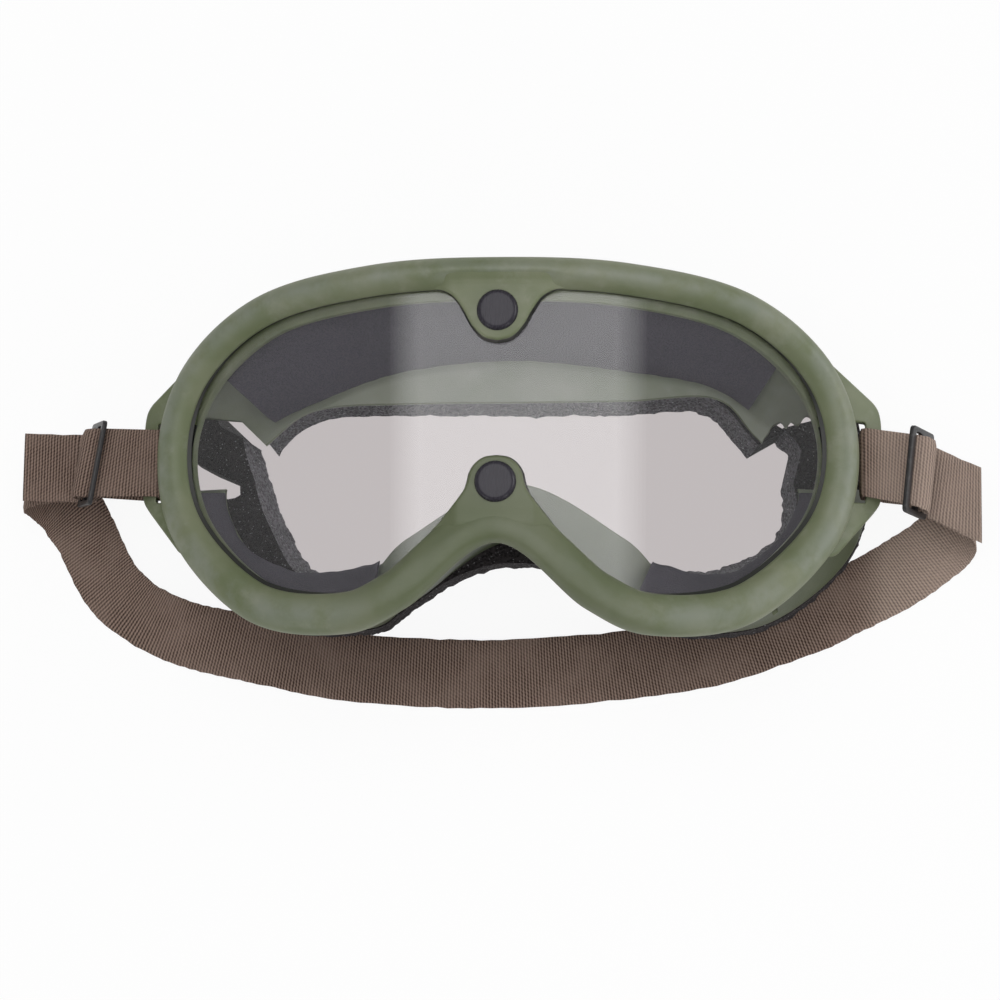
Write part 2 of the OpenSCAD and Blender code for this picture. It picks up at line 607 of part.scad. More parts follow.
module left_strap_end() {
    placed() mirror([1, 0, 0]) strap_end(slide_left_s, skew_left, droop_left, tail_left);
}

module right_strap_end() {
    placed() strap_end(slide_right_s, skew_right, droop_right, tail_right, bend_right);
}

// Three-bar slide, in the place of its middle bar
module slide(s0, skew, droop) {
    inside = web_w / cos(skew) + 2 * side_room;
    gap = bar_pitch - bar_w;
    size = [2 * bar_pitch + bar_w, inside + 2 * rail_w];
    middle = end_pt([s0, slide_h], 0, droop);
    color("darkslategray")
        translate(middle)
            rotate([0, 0, skew - droop])
                rotate([0, slide_tilt, 0])
                    translate([0, 0, -slide_t / 2])
                        linear_extrude(slide_t)
                            difference() {
                                union() {
                                    square([size[0] - 2, size[1]], center = true);
                                    square([size[0], size[1] - 2], center = true);
                                    for (x = [-1, 1], y = [-1, 1])
                                        translate([x * (size[0] / 2 - 1), y * (size[1] / 2 - 1)]) circle(r = 1);
                                }
                                for (x = [-1, 1])
                                    translate([x * bar_pitch / 2, 0]) square([gap, inside], center = true);
                            }
}

module left_slide() {
    placed() mirror([1, 0, 0]) slide(slide_left_s, skew_left, droop_left);
}

module right_slide() {
    placed() slide(slide_right_s, skew_right, droop_right);
}

// Long run of the headband. A station is its middle, the turn of its width from +Y towards +X, and how far
// its inner edge tips up off the table.
main_z = lug_mid + main_h;
left_cut = end_pt([slide_left_s + cut_s, main_h], 0, droop_left);
right_cut = end_pt([slide_right_s + cut_s, main_h], 0, droop_right, bend_right);
fold_left = reach_left - web_t / 2 - 1.6;
fold_right = reach_right - web_t / 2 - 2.9;
low_y = -band_y + web_w / 2;
flat_z = web_t / 2 + 0.1;
band_stations = [[-left_cut[0], left_cut[1], main_z, -droop_left, 0],
    [-fold_left + 7, left_cut[1], main_z, 3, 0],
    [-fold_left + 2, web_y - 0.6, main_z - 1.6, 5, 0],
    [-fold_left, web_y - 1.4, 0.55 * main_z, 10, 0],
    [-fold_left + 2.6, web_y - 3, 0.2 * main_z, 22, 6],
    [-fold_left + 7.6, web_y - 6.8, flat_z, 40, 10],
    [-fold_left + 13.4, low_y + 38.4, flat_z, 56, 12],
    [-fold_left + 23.4, low_y + 21.2, flat_z, 49, 16],
    [-0.683 * reach_left, low_y + 11, flat_z, 23, 22],
    [-0.513 * reach_left, low_y + 6, flat_z, 13, 8],
    [-0.319 * reach_left, low_y + 1.4, flat_z, 5, 4],
    [0, low_y, flat_z, -1, 8],
    [0.384 * reach_right, low_y + 5, flat_z, -14, 4],
    [0.62 * reach_right, low_y + 14.2, flat_z, -22, 0],
    [0.71 * reach_right, low_y + 19.2, flat_z, -27, 0],
    [0.81 * reach_right, low_y + 25.3, flat_z, -34, 5],
    [fold_right - 8, low_y + 33, flat_z, -42, 15],
    [fold_right - 2.6, low_y + 38.2, 0.2 * main_z, -32, 10],
    [fold_right, web_y - 9.4, 0.55 * main_z, -14, 0],
    [fold_right - 1.8, web_y - 7.2, main_z - 1.6, 3, 0],
    [right_cut[0], right_cut[1], main_z, droop_right, 0]];
band_line = open_curve(band_stations, 4);
band_across = 4;
function band_ring(i) = let(k = band_line[i], d = along(band_line, i),
    w = web_w / 2 * [sin(k[3]) * cos(k[4]), cos(k[3]) * cos(k[4]), sin(k[4])],
    n = web_t / 2 * unit(cross([d[0], d[1], d[2]], w)), c = [k[0], k[1], k[2] + max(0, w[2])])
    [for (j = [0:2 * band_across + 1]) let(t = j <= band_across ? j : 2 * band_across + 1 - j)
        c + mix(-1, 1, t / band_across) * w + (j <= band_across ? n : -n)];
module headband() {
    placed() color(webbing) ring_solid([for (i = [0:len(band_line) - 1]) band_ring(i)]);
}

frame();
top_lens_tab();
nose_lens_tab();
lens();
top_snap_cap();
top_snap_socket();
top_snap_stud();
top_snap_post();
nose_snap_cap();
nose_snap_socket();
nose_snap_stud();
nose_snap_post();
brow_vent_foam();
left_cheek_vent_foam();
right_cheek_vent_foam();
brow_face_foam();
cheek_face_foam();
headband();
left_strap_end();
right_strap_end();
left_slide();
right_slide();
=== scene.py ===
# %% [markdown]
# # Dust goggles, lying lens upwards with the headband laid round them
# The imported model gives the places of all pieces. This lesson makes the surfaces that show: moulded rubber,
# a bowed clear lens, snap caps, cut foam and woven webbing. Lengths are worked out in millimetres, in the
# same frame as the model, and turned to metres when a mesh is made. Left is -X, the brow is +Y.

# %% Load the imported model
import math

import bpy
import numpy as np
from mathutils import Matrix, Vector


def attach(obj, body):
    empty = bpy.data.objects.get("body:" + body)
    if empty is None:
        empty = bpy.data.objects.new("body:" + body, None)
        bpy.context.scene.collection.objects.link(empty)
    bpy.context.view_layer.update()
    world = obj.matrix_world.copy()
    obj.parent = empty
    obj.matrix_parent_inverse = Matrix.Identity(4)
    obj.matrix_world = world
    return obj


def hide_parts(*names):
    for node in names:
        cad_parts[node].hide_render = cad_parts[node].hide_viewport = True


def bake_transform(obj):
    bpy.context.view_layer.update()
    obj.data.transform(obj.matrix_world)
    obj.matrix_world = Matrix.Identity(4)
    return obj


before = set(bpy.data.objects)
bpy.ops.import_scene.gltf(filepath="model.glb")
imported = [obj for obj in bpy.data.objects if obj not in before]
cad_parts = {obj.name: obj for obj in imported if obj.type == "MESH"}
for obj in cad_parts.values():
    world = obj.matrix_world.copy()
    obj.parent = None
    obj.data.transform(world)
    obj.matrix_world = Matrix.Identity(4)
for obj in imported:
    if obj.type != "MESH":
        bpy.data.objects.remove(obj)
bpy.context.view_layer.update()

MM = 0.001

# %% [markdown]
# ## Camera
# The photo is taken from almost straight above, a little from the right and from below the nose, with a
# long lens. The place of the camera is given as a direction from a point on the front of the lens, and the
# small shift puts the optical axis where it was in the photo. It could be set by eye in the viewport; as
# numbers it is the same each time.

# %% Camera
SHIFT = np.array([5.0, -2.8, 0.0])  # from the nose snap to the middle of the whole
LENS_TOP = 57.0
VIEW_DIR = np.array([0.09, -0.15, 1.0])
VIEW_DIST = 750.0
FOCAL_MM = 108.9
VIEW_ROLL = -0.0128
FRAME_SHIFT = (0.0038, -0.017)


def add_camera():
    """Places the camera at the end of VIEW_DIR: its back points along it, and its up leans by the roll."""
    back = Vector(VIEW_DIR).normalized()
    up = Vector((math.sin(VIEW_ROLL), math.cos(VIEW_ROLL), 0))
    right = up.cross(back).normalized()
    up = back.cross(right)
    data = bpy.data.cameras.new("camera")
    data.lens = FOCAL_MM
    data.sensor_width = 36
    data.shift_x, data.shift_y = FRAME_SHIFT
    data.clip_end = 20
    cam = bpy.data.objects.new("camera", data)
    place = Vector((SHIFT + [0, 0, LENS_TOP]) * MM) + back * VIEW_DIST * MM
    cam.matrix_world = Matrix.Translation(place) @ Matrix((right, up, back)).transposed().to_4x4()
    bpy.context.collection.objects.link(cam)
    bpy.context.scene.camera = cam
    return cam


camera = add_camera()
print("camera at", [round(v, 3) for v in camera.location])

# %% [markdown]
# ## Curves and grids
# Nearly every piece is a grid of points: one way runs along a path and the other round a section. The paths
# are smooth curves through a few chosen points. The pieces could be pulled into shape by hand; worked out
# as arrays they keep to the sizes of the model.

# %% Curve helpers


def mix(a, b, t):
    """The point at share t of the way from a to b."""
    return a + (b - a) * t


def ramp(t):
    """Smooth step: 0 below 0, 1 above 1, and 3 t squared less 2 t cubed between."""
    t = np.clip(t, 0, 1)
    return t * t * (3 - 2 * t)


def unit(v):
    """Vectors of length 1."""
    return v / np.linalg.norm(v, axis=-1, keepdims=True)


def spline(knots, steps, closed=False):
    """Smooth curve through the knots. Between two of them it is the cubic whose slope at each is half the
    way between its neighbours."""
    k = np.asarray(knots, float)
    n = len(k)
    last = n if closed else n - 1
    i = np.repeat(np.arange(last), steps)
    t = np.tile(np.arange(steps) / steps, last)[:, None]
    pick = (lambda j: k[j % n]) if closed else (lambda j: k[np.clip(j, 0, n - 1)])
    a, b, c, d = pick(i - 1), pick(i), pick(i + 1), pick(i + 2)
    curve = 0.5 * (2 * b + (c - a) * t + (2 * a - 5 * b + 4 * c - d) * t**2 + (3 * b - a - 3 * c + d) * t**3)
    return curve if closed else np.vstack([curve, k[-1:]])


def arc_lengths(points):
    """Distance run along a path at each of its points."""
    steps = np.linalg.norm(np.diff(points, axis=0), axis=1)
    return np.concatenate([[0], np.cumsum(steps)])


def along(points):
    """Direction of a path at each point: towards the next from the one before."""
    return np.gradient(points, axis=0)


def rough(points, size, seed):
    """Even, seamless noise from -1 to 1 at each point: a sum of 24 plane waves with random directions, about
    size apart from crest to crest."""
    rng = np.random.default_rng(seed)
    waves = unit(rng.normal(size=(24, 3))) * (2 * np.pi / (size * rng.uniform(0.7, 1.8, size=(24, 1))))
    phase = rng.uniform(0, 2 * np.pi, 24)
    total = np.zeros(points.shape[:-1])
    for wave, start in zip(waves, phase):
        total += np.sin(points @ wave + start)
    return total / 5


# %% [markdown]
# ### From grids to meshes
# A grid becomes a skin of quads. The faces of a closed skin have to look outwards, or glass and relief go
# wrong, so each is turned by the sign of its volume. Rounded corners could be left to a bevel modifier; as
# part of the section they have exact radii.

# %% Mesh helpers


def outwards(verts, faces):
    """The faces, all turned round if they enclose less than nothing, which is when they face inwards."""
    fans = np.array([(f[0], f[k], f[k + 1]) for f in faces for k in range(1, len(f) - 1)])
    a, b, c = verts[fans.T]
    return [f[::-1] for f in faces] if np.sum(a * np.cross(b, c)) < 0 else faces


def finish_mesh(name, verts, faces, uv=None, sharp=40):
    """A smooth-shaded object from points in millimetres about the nose snap. Edges that turn by more than
    sharp degrees stay crisp. uv is one pair per vertex."""
    mesh = bpy.data.meshes.new(name)
    placed = (np.asarray(verts, float).reshape(-1, 3) + SHIFT) * MM
    mesh.from_pydata(placed.tolist(), [], outwards(placed, [list(map(int, f)) for f in faces]))
    mesh.polygons.foreach_set("use_smooth", np.ones(len(mesh.polygons), bool))
    if uv is not None:
        layer = mesh.uv_layers.new(name="UVMap")
        corner = np.empty(len(mesh.loops), int)
        mesh.loops.foreach_get("vertex_index", corner)
        layer.data.foreach_set("uv", (np.asarray(uv, float).reshape(-1, 2)[corner] * MM).ravel())
    mesh.set_sharp_from_angle(angle=math.radians(sharp))
    mesh.update()
    obj = bpy.data.objects.new(name, mesh)
    bpy.context.collection.objects.link(obj)
    return obj


def grid_faces(rows, cols, wrap_rows=False, wrap_cols=False):
    """Quads of a grid: corner (i, j), its neighbours along both ways, and the one across."""
    i, j = np.meshgrid(np.arange(rows if wrap_rows else rows - 1), np.arange(cols if wrap_cols else cols - 1),
                       indexing="ij")
    down, right = (i + 1) % rows, (j + 1) % cols
    return np.stack([i * cols + j, i * cols + right, down * cols + right, down * cols + j], -1).reshape(-1, 4)


def tube(name, rings, closed=False, uv=None, sharp=40):
    """Skin over a row of rings. The row is joined end to end where closed, or has flat ends."""
    rows, cols = rings.shape[:2]
    faces = grid_faces(rows, cols, wrap_rows=closed, wrap_cols=True).tolist()
    if not closed:
        faces += [list(range(cols))[::-1], list(range((rows - 1) * cols, rows * cols))]
    return finish_mesh(name, rings, faces, uv, sharp)


FILLET_STEPS = 4


def fillet(points, radii, steps=FILLET_STEPS):
    """Rounds the corners of closed sections. Each corner becomes the quadratic curve that starts and ends
    a radius away from it along its two sides, or halfway along a short side."""
    back = np.roll(points, 1, axis=1) - points
    ahead = np.roll(points, -1, axis=1) - points
    reach = np.asarray(radii, float)[None, :]
    share_back = np.minimum(reach / np.linalg.norm(back, axis=-1), 0.5)[..., None]
    share_ahead = np.minimum(reach / np.linalg.norm(ahead, axis=-1), 0.5)[..., None]
    start, end = points + back * share_back, points + ahead * share_ahead
    t = ((np.arange(steps) + 0.5) / steps)[None, None, :, None]
    curve = ((1 - t) ** 2 * start[:, :, None] + 2 * t * (1 - t) * points[:, :, None] + t**2 * end[:, :, None])
    return curve.reshape(len(points), -1, 3)


def on_x_axis(x):
    """Points on the X axis, where noise that follows one length is read."""
    return np.stack([x, 0 * x, 0 * x], -1)


def combine(base, tool, operation):
    """Adds or cuts one closed mesh with another, applies it and drops the tool."""
    mod = base.modifiers.new("combine", "BOOLEAN")
    mod.operation = operation
    mod.object = tool
    mod.solver = "MANIFOLD"
    graph = bpy.context.evaluated_depsgraph_get()
    mesh = bpy.data.meshes.new_from_object(base.evaluated_get(graph))
    base.modifiers.clear()
    base.data = mesh
    bpy.data.objects.remove(tool)


# %% [markdown]
# ## Shader maths
# A pattern could be wired up node by node. Here a small class wraps an output of a node, so that the
# pattern is written as an expression and reads like its formula.

# %% Shader helper


class Value:
    """One number at each point of a surface. Sums and products of it are Math nodes."""

    def __init__(self, paint, socket):
        self.paint = paint
        self.socket = socket

    def op(self, name, *others):
        """Any Math node by its name, with this value first."""
        return self.paint.node("ShaderNodeMath", {"operation": name}, [self, *others])

    def __add__(self, other):
        return self.op("ADD", other)

    __radd__ = __add__

    def __mul__(self, other):
        return self.op("MULTIPLY", other)

    __rmul__ = __mul__

    def __sub__(self, other):
        return self.op("SUBTRACT", other)

    def __rsub__(self, other):
        return (self * -1) + other

    def above(self, low, high):
        """0 below low, 1 above high, and smooth between."""
        inputs = {"Value": self, "From Min": low, "From Max": high}
        return self.paint.node("ShaderNodeMapRange", {"interpolation_type": "SMOOTHSTEP"}, inputs)


class Paint:
    """A material under construction: one Principled shader and the nodes that feed it."""

    def __init__(self, name, **constants):
        self.mat = bpy.data.materials.new(name)
        self.mat.use_nodes = True
        self.tree = self.mat.node_tree
        self.shader = self.tree.nodes["Principled BSDF"]
        for key, value in constants.items():
            self.shader.inputs[key.replace("_", " ")].default_value = value

    def node(self, kind, settings=None, inputs=None, output=0):
        """Adds a node, sets its settings, then its inputs by name or in order, and wraps an output."""
        made = self.tree.nodes.new(kind)
        for key, value in (settings or {}).items():
            setattr(made, key, value)
        pairs = inputs.items() if isinstance(inputs, dict) else enumerate(inputs or [])
        for key, value in pairs:
            if isinstance(value, Value):
                self.tree.links.new(value.socket, made.inputs[key])
            else:
                made.inputs[key].default_value = value
        return Value(self, made.outputs[output])

    def where(self, kind="Object", stretch=(1, 1, 1), turn=0.0):
        """Coordinates in metres: Object, or UV of a woven piece, stretched and turned."""
        coords = self.node("ShaderNodeTexCoord", output=kind)
        inputs = {"Vector": coords, "Scale": stretch, "Rotation": (0, 0, turn)}
        return self.node("ShaderNodeMapping", None, inputs)

    def noise(self, place, size_mm, detail=2.0, roughness=0.5):
        """Cloudy pattern from 0 to 1 with blots of about this size."""
        inputs = {"Vector": place, "Scale": 1 / (size_mm * MM), "Detail": detail, "Roughness": roughness}
        return self.node("ShaderNodeTexNoise", None, inputs)

    def cells(self, place, size_mm):
        """Distance to the nearest of scattered points, which are about this far apart."""
        inputs = {"Vector": place, "Scale": 1 / (size_mm * MM)}
        return self.node("ShaderNodeTexVoronoi", {"feature": "F1"}, inputs)

    def part(self, place, axis):
        """One coordinate of a place."""
        return self.node("ShaderNodeSeparateXYZ", None, [place], output=axis)

    def blend(self, share, first, second):
        """Colour that goes from first to second as share goes from 0 to 1."""
        mixer = self.tree.nodes.new("ShaderNodeMix")
        mixer.data_type = "RGBA"
        for socket, value in zip((mixer.inputs[0], mixer.inputs[6], mixer.inputs[7]), (share, first, second)):
            if isinstance(value, Value):
                self.tree.links.new(value.socket, socket)
            else:
                socket.default_value = value if isinstance(value, (int, float)) else (*value, 1)
        return Value(self, mixer.outputs[2])

    def feed(self, **links):
        """Links values to inputs of the shader: Base_Color stands for Base Color."""
        for key, value in links.items():
            self.tree.links.new(value.socket, self.shader.inputs[key.replace("_", " ")])
        return self

    def bump(self, height, depth_mm):
        """Feeds Normal with a relief of this depth."""
        inputs = {"Height": height, "Distance": depth_mm * MM, "Strength": 1.0}
        return self.feed(Normal=self.node("ShaderNodeBump", None, inputs))

    def or_else(self, other, share):
        """Ends in a mix of the Principled shader and another, by the share of a socket."""
        either = self.tree.nodes.new("ShaderNodeMixShader")
        for socket, source in zip(either.inputs, (share, self.shader.outputs[0], other.outputs[0])):
            self.tree.links.new(source, socket)
        self.tree.links.new(either.outputs[0], self.tree.nodes["Material Output"].inputs["Surface"])
        return self


print("helpers ready")

# %% [markdown]
# ## Materials
# Rubber: a dull moulded green with faint clouds and a grain, and a painted sheen: a paler streak along the
# crest of the roll. The frame's own UV says where that is: its second number runs round the section, and its
# first is 1 at the nose, where the green is painted darker as painted shade. Three of the four tones are
# painted light and shade: the wall painted in shade, the inside painted lighter, and the groove and the strip
# along the lip painted black as shadow. The clouds could be painted on; noise needs no picture and has no
# seam.

# %% Moulded rubber


# The painted sheen lies on the crest of the roll, between these shares of the way round the section.
CREST_START, CREST_END, CREST_FADE = 0.13, 0.33, 0.11  # shares of the way round the section
CREST_SHEEN = (0.25, 0.27, 0.245)


def rubber_paint(name, dark, pale, bloomed):
    """Green rubber: two greens in slow clouds, a pale bloom in finer ones, a very fine grain, a painted sheen
    along the crest, and painted shade towards the nose.
    """
    p = Paint(name, Roughness=0.5, IOR=1.5, Specular_IOR_Level=0.5)
    place = p.where()
    clouds = p.noise(place, 22, 3, 0.55)
    bloom = p.noise(place, 7, 5, 0.6)
    grain = p.noise(place, 0.35, 3, 0.6)
    green = p.blend(clouds.above(0.35, 0.68), dark, pale)
    # Painted sheen: a paler streak in noise along the crest of the roll.
    round_share = p.part(p.where("UV"), "Y")
    starts = round_share.above(CREST_START, CREST_START + CREST_FADE)
    on_crest = starts * (round_share * -1).above(-CREST_END, CREST_FADE - CREST_END)
    streak = p.noise(p.where(stretch=(0.5, 0.5, 1)), 5, 4, 0.6).above(0.3, 0.62)
    # Painted shade: the first UV number is 1 at the nose, where the rubber goes darker, with less painted
    # sheen and less bloom.
    at_nose = p.part(p.where("UV"), "X")
    less_at_nose = at_nose * -0.75 + 1
    sheened_green = p.blend(on_crest * streak * less_at_nose * 0.5, green, CREST_SHEEN)
    bloomed_green = p.blend(bloom.above(0.48, 0.8) * less_at_nose * 0.6, sheened_green, bloomed)
    nose_shaded_green = p.blend(at_nose * 0.45, bloomed_green, tuple(0.62 * c for c in dark))
    p.feed(Base_Color=nose_shaded_green, Roughness=bloom * 0.16 + grain * 0.1 + 0.33)
    return p.bump(grain + bloom * 0.6, 0.035).mat


# Besides the plain green: the wall tone is painted shade, the inside tone painted light, and the near-black
# one painted shadow.
RUBBER_TONES = {  # two greens of the clouds and the bloom
    "green rubber": ((0.118, 0.143, 0.068), (0.172, 0.19, 0.112), (0.24, 0.253, 0.19)),
    "green rubber of the wall, painted in shade": ((0.05, 0.066, 0.03), (0.07, 0.086, 0.045), (0.1, 0.115, 0.075)),
    "green rubber inside, painted lighter": ((0.22, 0.245, 0.175), (0.28, 0.295, 0.235), (0.34, 0.35, 0.3)),
    "green rubber painted as shadow": ((0.006, 0.007, 0.004), (0.012, 0.013, 0.009), (0.02, 0.021, 0.016)),
}
rubber, rubber_painted_wall_shade, rubber_painted_lit_inside, rubber_painted_shadow = (
    rubber_paint(name, *tones) for name, tones in RUBBER_TONES.items())

# %% [markdown]
# The lens is clear sheet: the inside of the goggles shows through it, and it mirrors the lamps. Plain glass
# would do, but it keeps light from what lies behind it. So it is glass to the eye, while light from the
# lamps passes straight through.

# %% Clear lens


def lens_paint():
    """Glass mixed with a transparent shader that only rays towards lamps meet."""
    p = Paint("clear lens", IOR=1.49, Transmission_Weight=1.0, Base_Color=(0.965, 0.965, 0.97, 1))
    smudge = p.noise(p.where(stretch=(1.0, 0.25, 1.0)), 9, 3, 0.6)
    p.feed(Roughness=smudge.above(0.45, 0.9) * 0.02)
    clear = p.tree.nodes.new("ShaderNodeBsdfTransparent")
    clear.inputs["Color"].default_value = (0.93, 0.93, 0.93, 1)
    rays = p.tree.nodes.new("ShaderNodeLightPath")
    return p.or_else(clear, rays.outputs["Is Shadow Ray"]).mat


lens_clear = lens_paint()

# %% [markdown]
# Snap caps are black enamel over brass: nearly smooth, with fine scratches one way. The hidden pieces of
# the snaps are plated. The slides are blackened steel, a little worn in spots. Scratches and pits are too
# fine to model, so they are a relief made of noise.

# %% Metals


def enamel_paint():
    """Near-black paint with a faint brushed relief."""
    p = Paint("black enamel", Roughness=0.3, Specular_IOR_Level=0.25, Coat_Weight=0.06, Coat_Roughness=0.12)
    brushed = p.noise(p.where(stretch=(1, 0.12, 1), turn=math.radians(-38)), 0.5, 3, 0.6)
    clouds = p.noise(p.where(), 4, 3, 0.6)
    p.feed(Base_Color=p.blend(brushed * 0.6 + clouds * 0.4, (0.016, 0.014, 0.02), (0.044, 0.04, 0.052)))
    p.feed(Roughness=brushed * 0.15 + 0.2)
    return p.bump(brushed, 0.012).mat


def plated_paint():
    """Dull nickel with fine turning marks and a few darker spots."""
    p = Paint("dull nickel", Metallic=1.0, Roughness=0.3)
    place = p.where()
    marks = p.noise(place, 0.25, 4, 0.7)
    spots = p.noise(place, 1.4, 3, 0.6)
    p.feed(Base_Color=p.blend(spots.above(0.45, 0.75), (0.62, 0.6, 0.56), (0.42, 0.4, 0.36)))
    p.feed(Roughness=marks * 0.2 + spots * 0.15 + 0.16)
    return p.bump(marks, 0.01).mat


def blackened_paint():
    """Black oxide over steel: soft gloss, with fine pits."""
    p = Paint("blackened steel", Roughness=0.38, Specular_IOR_Level=0.6)
    place = p.where()
    pits = p.noise(place, 0.3, 4, 0.65)
    wear = p.noise(place, 1.6, 3, 0.6)
    p.feed(Base_Color=p.blend(wear.above(0.5, 0.82), (0.012, 0.011, 0.012), (0.045, 0.042, 0.042)))
    p.feed(Roughness=pits * 0.25 + 0.26)
    return p.bump(pits, 0.02).mat


enamel, plated, blackened = enamel_paint(), plated_paint(), blackened_paint()

# %% [markdown]
# Foam: open cells about half a millimetre wide. Some cell walls catch the light; these glints are painted as
# pale spots in the colour. Modelled cells would be millions of faces, so they are a cell pattern with a
# relief.

# %% Foam


def foam_paint(name, dark, pale, glitter, cell_mm, depth_mm):
    """Foam of two tones: dark in the cells and pale on their walls, with scattered bright spots that are
    painted glints.
    """
    p = Paint(name, Roughness=0.85, Specular_IOR_Level=0.3)
    place = p.where()
    walls = p.cells(place, cell_mm).above(0.15, 0.75)
    clouds = p.noise(place, 6, 3, 0.6)
    # Painted glints: scattered pale spots in the colour.
    flecks = p.noise(place, 0.55, 1, 0.4).above(0.66, 0.78) * glitter
    tone = p.blend(walls * 0.6 + clouds * 0.4, dark, pale)
    p.feed(Base_Color=p.blend(flecks, tone, (0.55, 0.55, 0.57)))
    return p.bump(walls + clouds * 0.5, depth_mm).mat


# Painted light and shade on one foam: the face is painted dark, as in shade, and the cut faces pale, as lit.
face_foam_painted_shade = foam_paint("face foam", (0.01, 0.008, 0.009), (0.04, 0.034, 0.036), 0.5, 0.8, 0.25)
cut_foam_painted_lit = foam_paint("cut foam", (0.045, 0.041, 0.048), (0.27, 0.255, 0.275), 1.3, 0.8, 0.4)
vent_grey = foam_paint("vent foam", (0.06, 0.055, 0.069), (0.1, 0.092, 0.114), 0.0, 0.5, 0.06)

# %% [markdown]
# Webbing: rounded ribs run across it, and each is broken into stitches that step sideways from rib to rib.
# The coordinates are the piece's own: the first runs along the strap and the second across it. The right
# end is painted paler by its place, as painted light from the right. Each yarn could be a piece of its own,
# but at this size waves across and along give the same look.

# %% Webbing


RIB_MM, STITCH_MM = 0.78, 0.95
LIT_FROM, LIT_TO = 0.094, 0.104  # metres to the right of the middle


def webbing_paint():
    """Ribs are a sine along the strap; stitches are a sine across it, moved on by part of a stitch with each
    rib; and both are frayed by noise, stretched along the yarn."""
    p = Paint("brown webbing", Roughness=0.9, Specular_IOR_Level=0.2)
    place = p.where("UV")
    s, v = p.part(place, "X"), p.part(place, "Y")
    wobble = p.noise(place, 1.3, 2, 0.5)
    rib_turns = s * (2 * math.pi / (RIB_MM * MM)) + wobble * 2.4
    rib = rib_turns.op("SINE") * 0.5 + 0.5
    stitch_turns = v * (2 * math.pi / (STITCH_MM * MM)) + rib_turns * 0.5 + wobble * 2.0
    stitch = stitch_turns.op("SINE") * 0.5 + 0.5
    fibre = p.noise(p.where("UV", stretch=(1, 3.2, 1)), 0.5, 3, 0.7)
    worn = p.noise(place, 14, 4, 0.6)
    weave = rib * 0.5 + stitch * 0.2 + fibre * 0.3
    dark_light = p.blend(weave.above(0.22, 0.78), (0.05, 0.033, 0.027), (0.29, 0.205, 0.165))
    warm = p.blend(worn.above(0.4, 0.7) * 0.4, dark_light, (0.26, 0.19, 0.157))
    # Painted light: past these places to the right, the webbing goes paler.
    lit_right_end = p.part(p.where(), "X").above(LIT_FROM, LIT_TO) * (weave * 0.45 + 0.2)
    p.feed(Base_Color=p.blend(lit_right_end, warm, (0.48, 0.38, 0.32)))
    return p.bump(weave, 0.22).mat


webbing = webbing_paint()
print("materials", [m.name for m in bpy.data.materials])


def dress(obj, *materials):
    """Gives a piece its materials, in place of any it has."""
    obj.data.materials.clear()
    for material in materials:
        obj.data.materials.append(material)
    return obj


def tone_faces(obj, picks):
    """Gives each face the material of its number."""
    obj.data.polygons.foreach_set("material_index", np.asarray(picks, np.int32).ravel())


def stand_in(obj, node, body=None):
    """The piece stands for a node of the model and rides its body, if one is given."""
    if body:
        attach(obj, body)
    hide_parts(node)
    return obj


# %% [markdown]
# ## The shape of the frame
# The rim is one outline, given as points on the flat lens sheet and then bowed with it. The roll, the lips
# of the lens groove and the wall are offsets of that outline; the rear of the wall has its own plan. They
# could be separate curves, but offsets keep the roll even all the way round.

# %% Driving sizes of the frame, in millimetres
BOW_R = 165.0  # radius of the front of the lens
LENS_T = 1.3
HALF_RIM = 94.5  # half the rim's width, round the bow
BROW_Y, CHEEK_Y, CHEEK_X = 57.2, 37.4, 39.4  # up to the brow, down to the cheeks, and across to their lowest
ARCH_X, ARCH_Y = 22.3, 14.9  # across to the foot of the nose arch, and down to its top
ROLL_TOP, ROLL_LOW, ROLL_H, ROLL_BACK = 8.2, 10.2, 4.6, 4.2  # width at brow and cheeks, height, and depth
GROOVE, LIP_SHOW, LIP_SIDE, LIP_T, FIT = 2.8, 2.5, 0.6, 2.0, 0.25  # lens groove, its rear lip, and clearance
WALL_T, FACE_R, FACE_Z, LEAN = 2.0, 236.0, 26.0, 2.5  # wall, curve and height of the face, lean of the rear
GROOVE_BACK = -(LENS_T + FIT)
KNOT_STEPS = 20

# %% Outlines


def on_bow(p, w):
    """Point of the bowed sheet: p is (distance round the bow, height) and w is out from the lens."""
    p = np.asarray(p, float)
    w = np.broadcast_to(w, p.shape[:-1])
    angle, r = p[..., 0] / BOW_R, BOW_R + w
    return np.stack([r * np.sin(angle), p[..., 1], LENS_TOP - BOW_R + r * np.cos(angle)], -1)


def bow_z(x, w):
    """Height of the bowed sheet at a distance x from the middle."""
    return LENS_TOP - BOW_R + np.sqrt((BOW_R + w) ** 2 - np.asarray(x, float) ** 2)


def face_at(x):
    """Height of the curved face that the flange lies on."""
    return FACE_Z - FACE_R + np.sqrt(FACE_R**2 - x * x)


def two_halves(right, left):
    """A closed outline from its right half and its left half, both given for +X."""
    return np.vstack([right, np.asarray(left, float)[-2:0:-1] * [-1, 1]])


half_rim = np.array([[0, BROW_Y], [0.35 * HALF_RIM, 0.98 * BROW_Y], [0.683 * HALF_RIM, 0.87 * BROW_Y],
                     [0.915 * HALF_RIM, 0.59 * BROW_Y], [HALF_RIM, 0.208 * BROW_Y],
                     [0.934 * HALF_RIM, -0.324 * CHEEK_Y], [0.69 * HALF_RIM, -0.888 * CHEEK_Y],
                     [CHEEK_X, -CHEEK_Y], [ARCH_X, -0.83 * CHEEK_Y], [0, -ARCH_Y]])
rim = spline(two_halves(half_rim, half_rim), KNOT_STEPS, closed=True)
stations = len(rim)


def loop_normal(loop):
    """Outward direction of a closed plan loop: its run from neighbour to neighbour, turned a quarter."""
    run = np.roll(loop, -1, axis=0) - np.roll(loop, 1, axis=0)
    return unit(np.stack([-run[:, 1], run[:, 0]], -1))


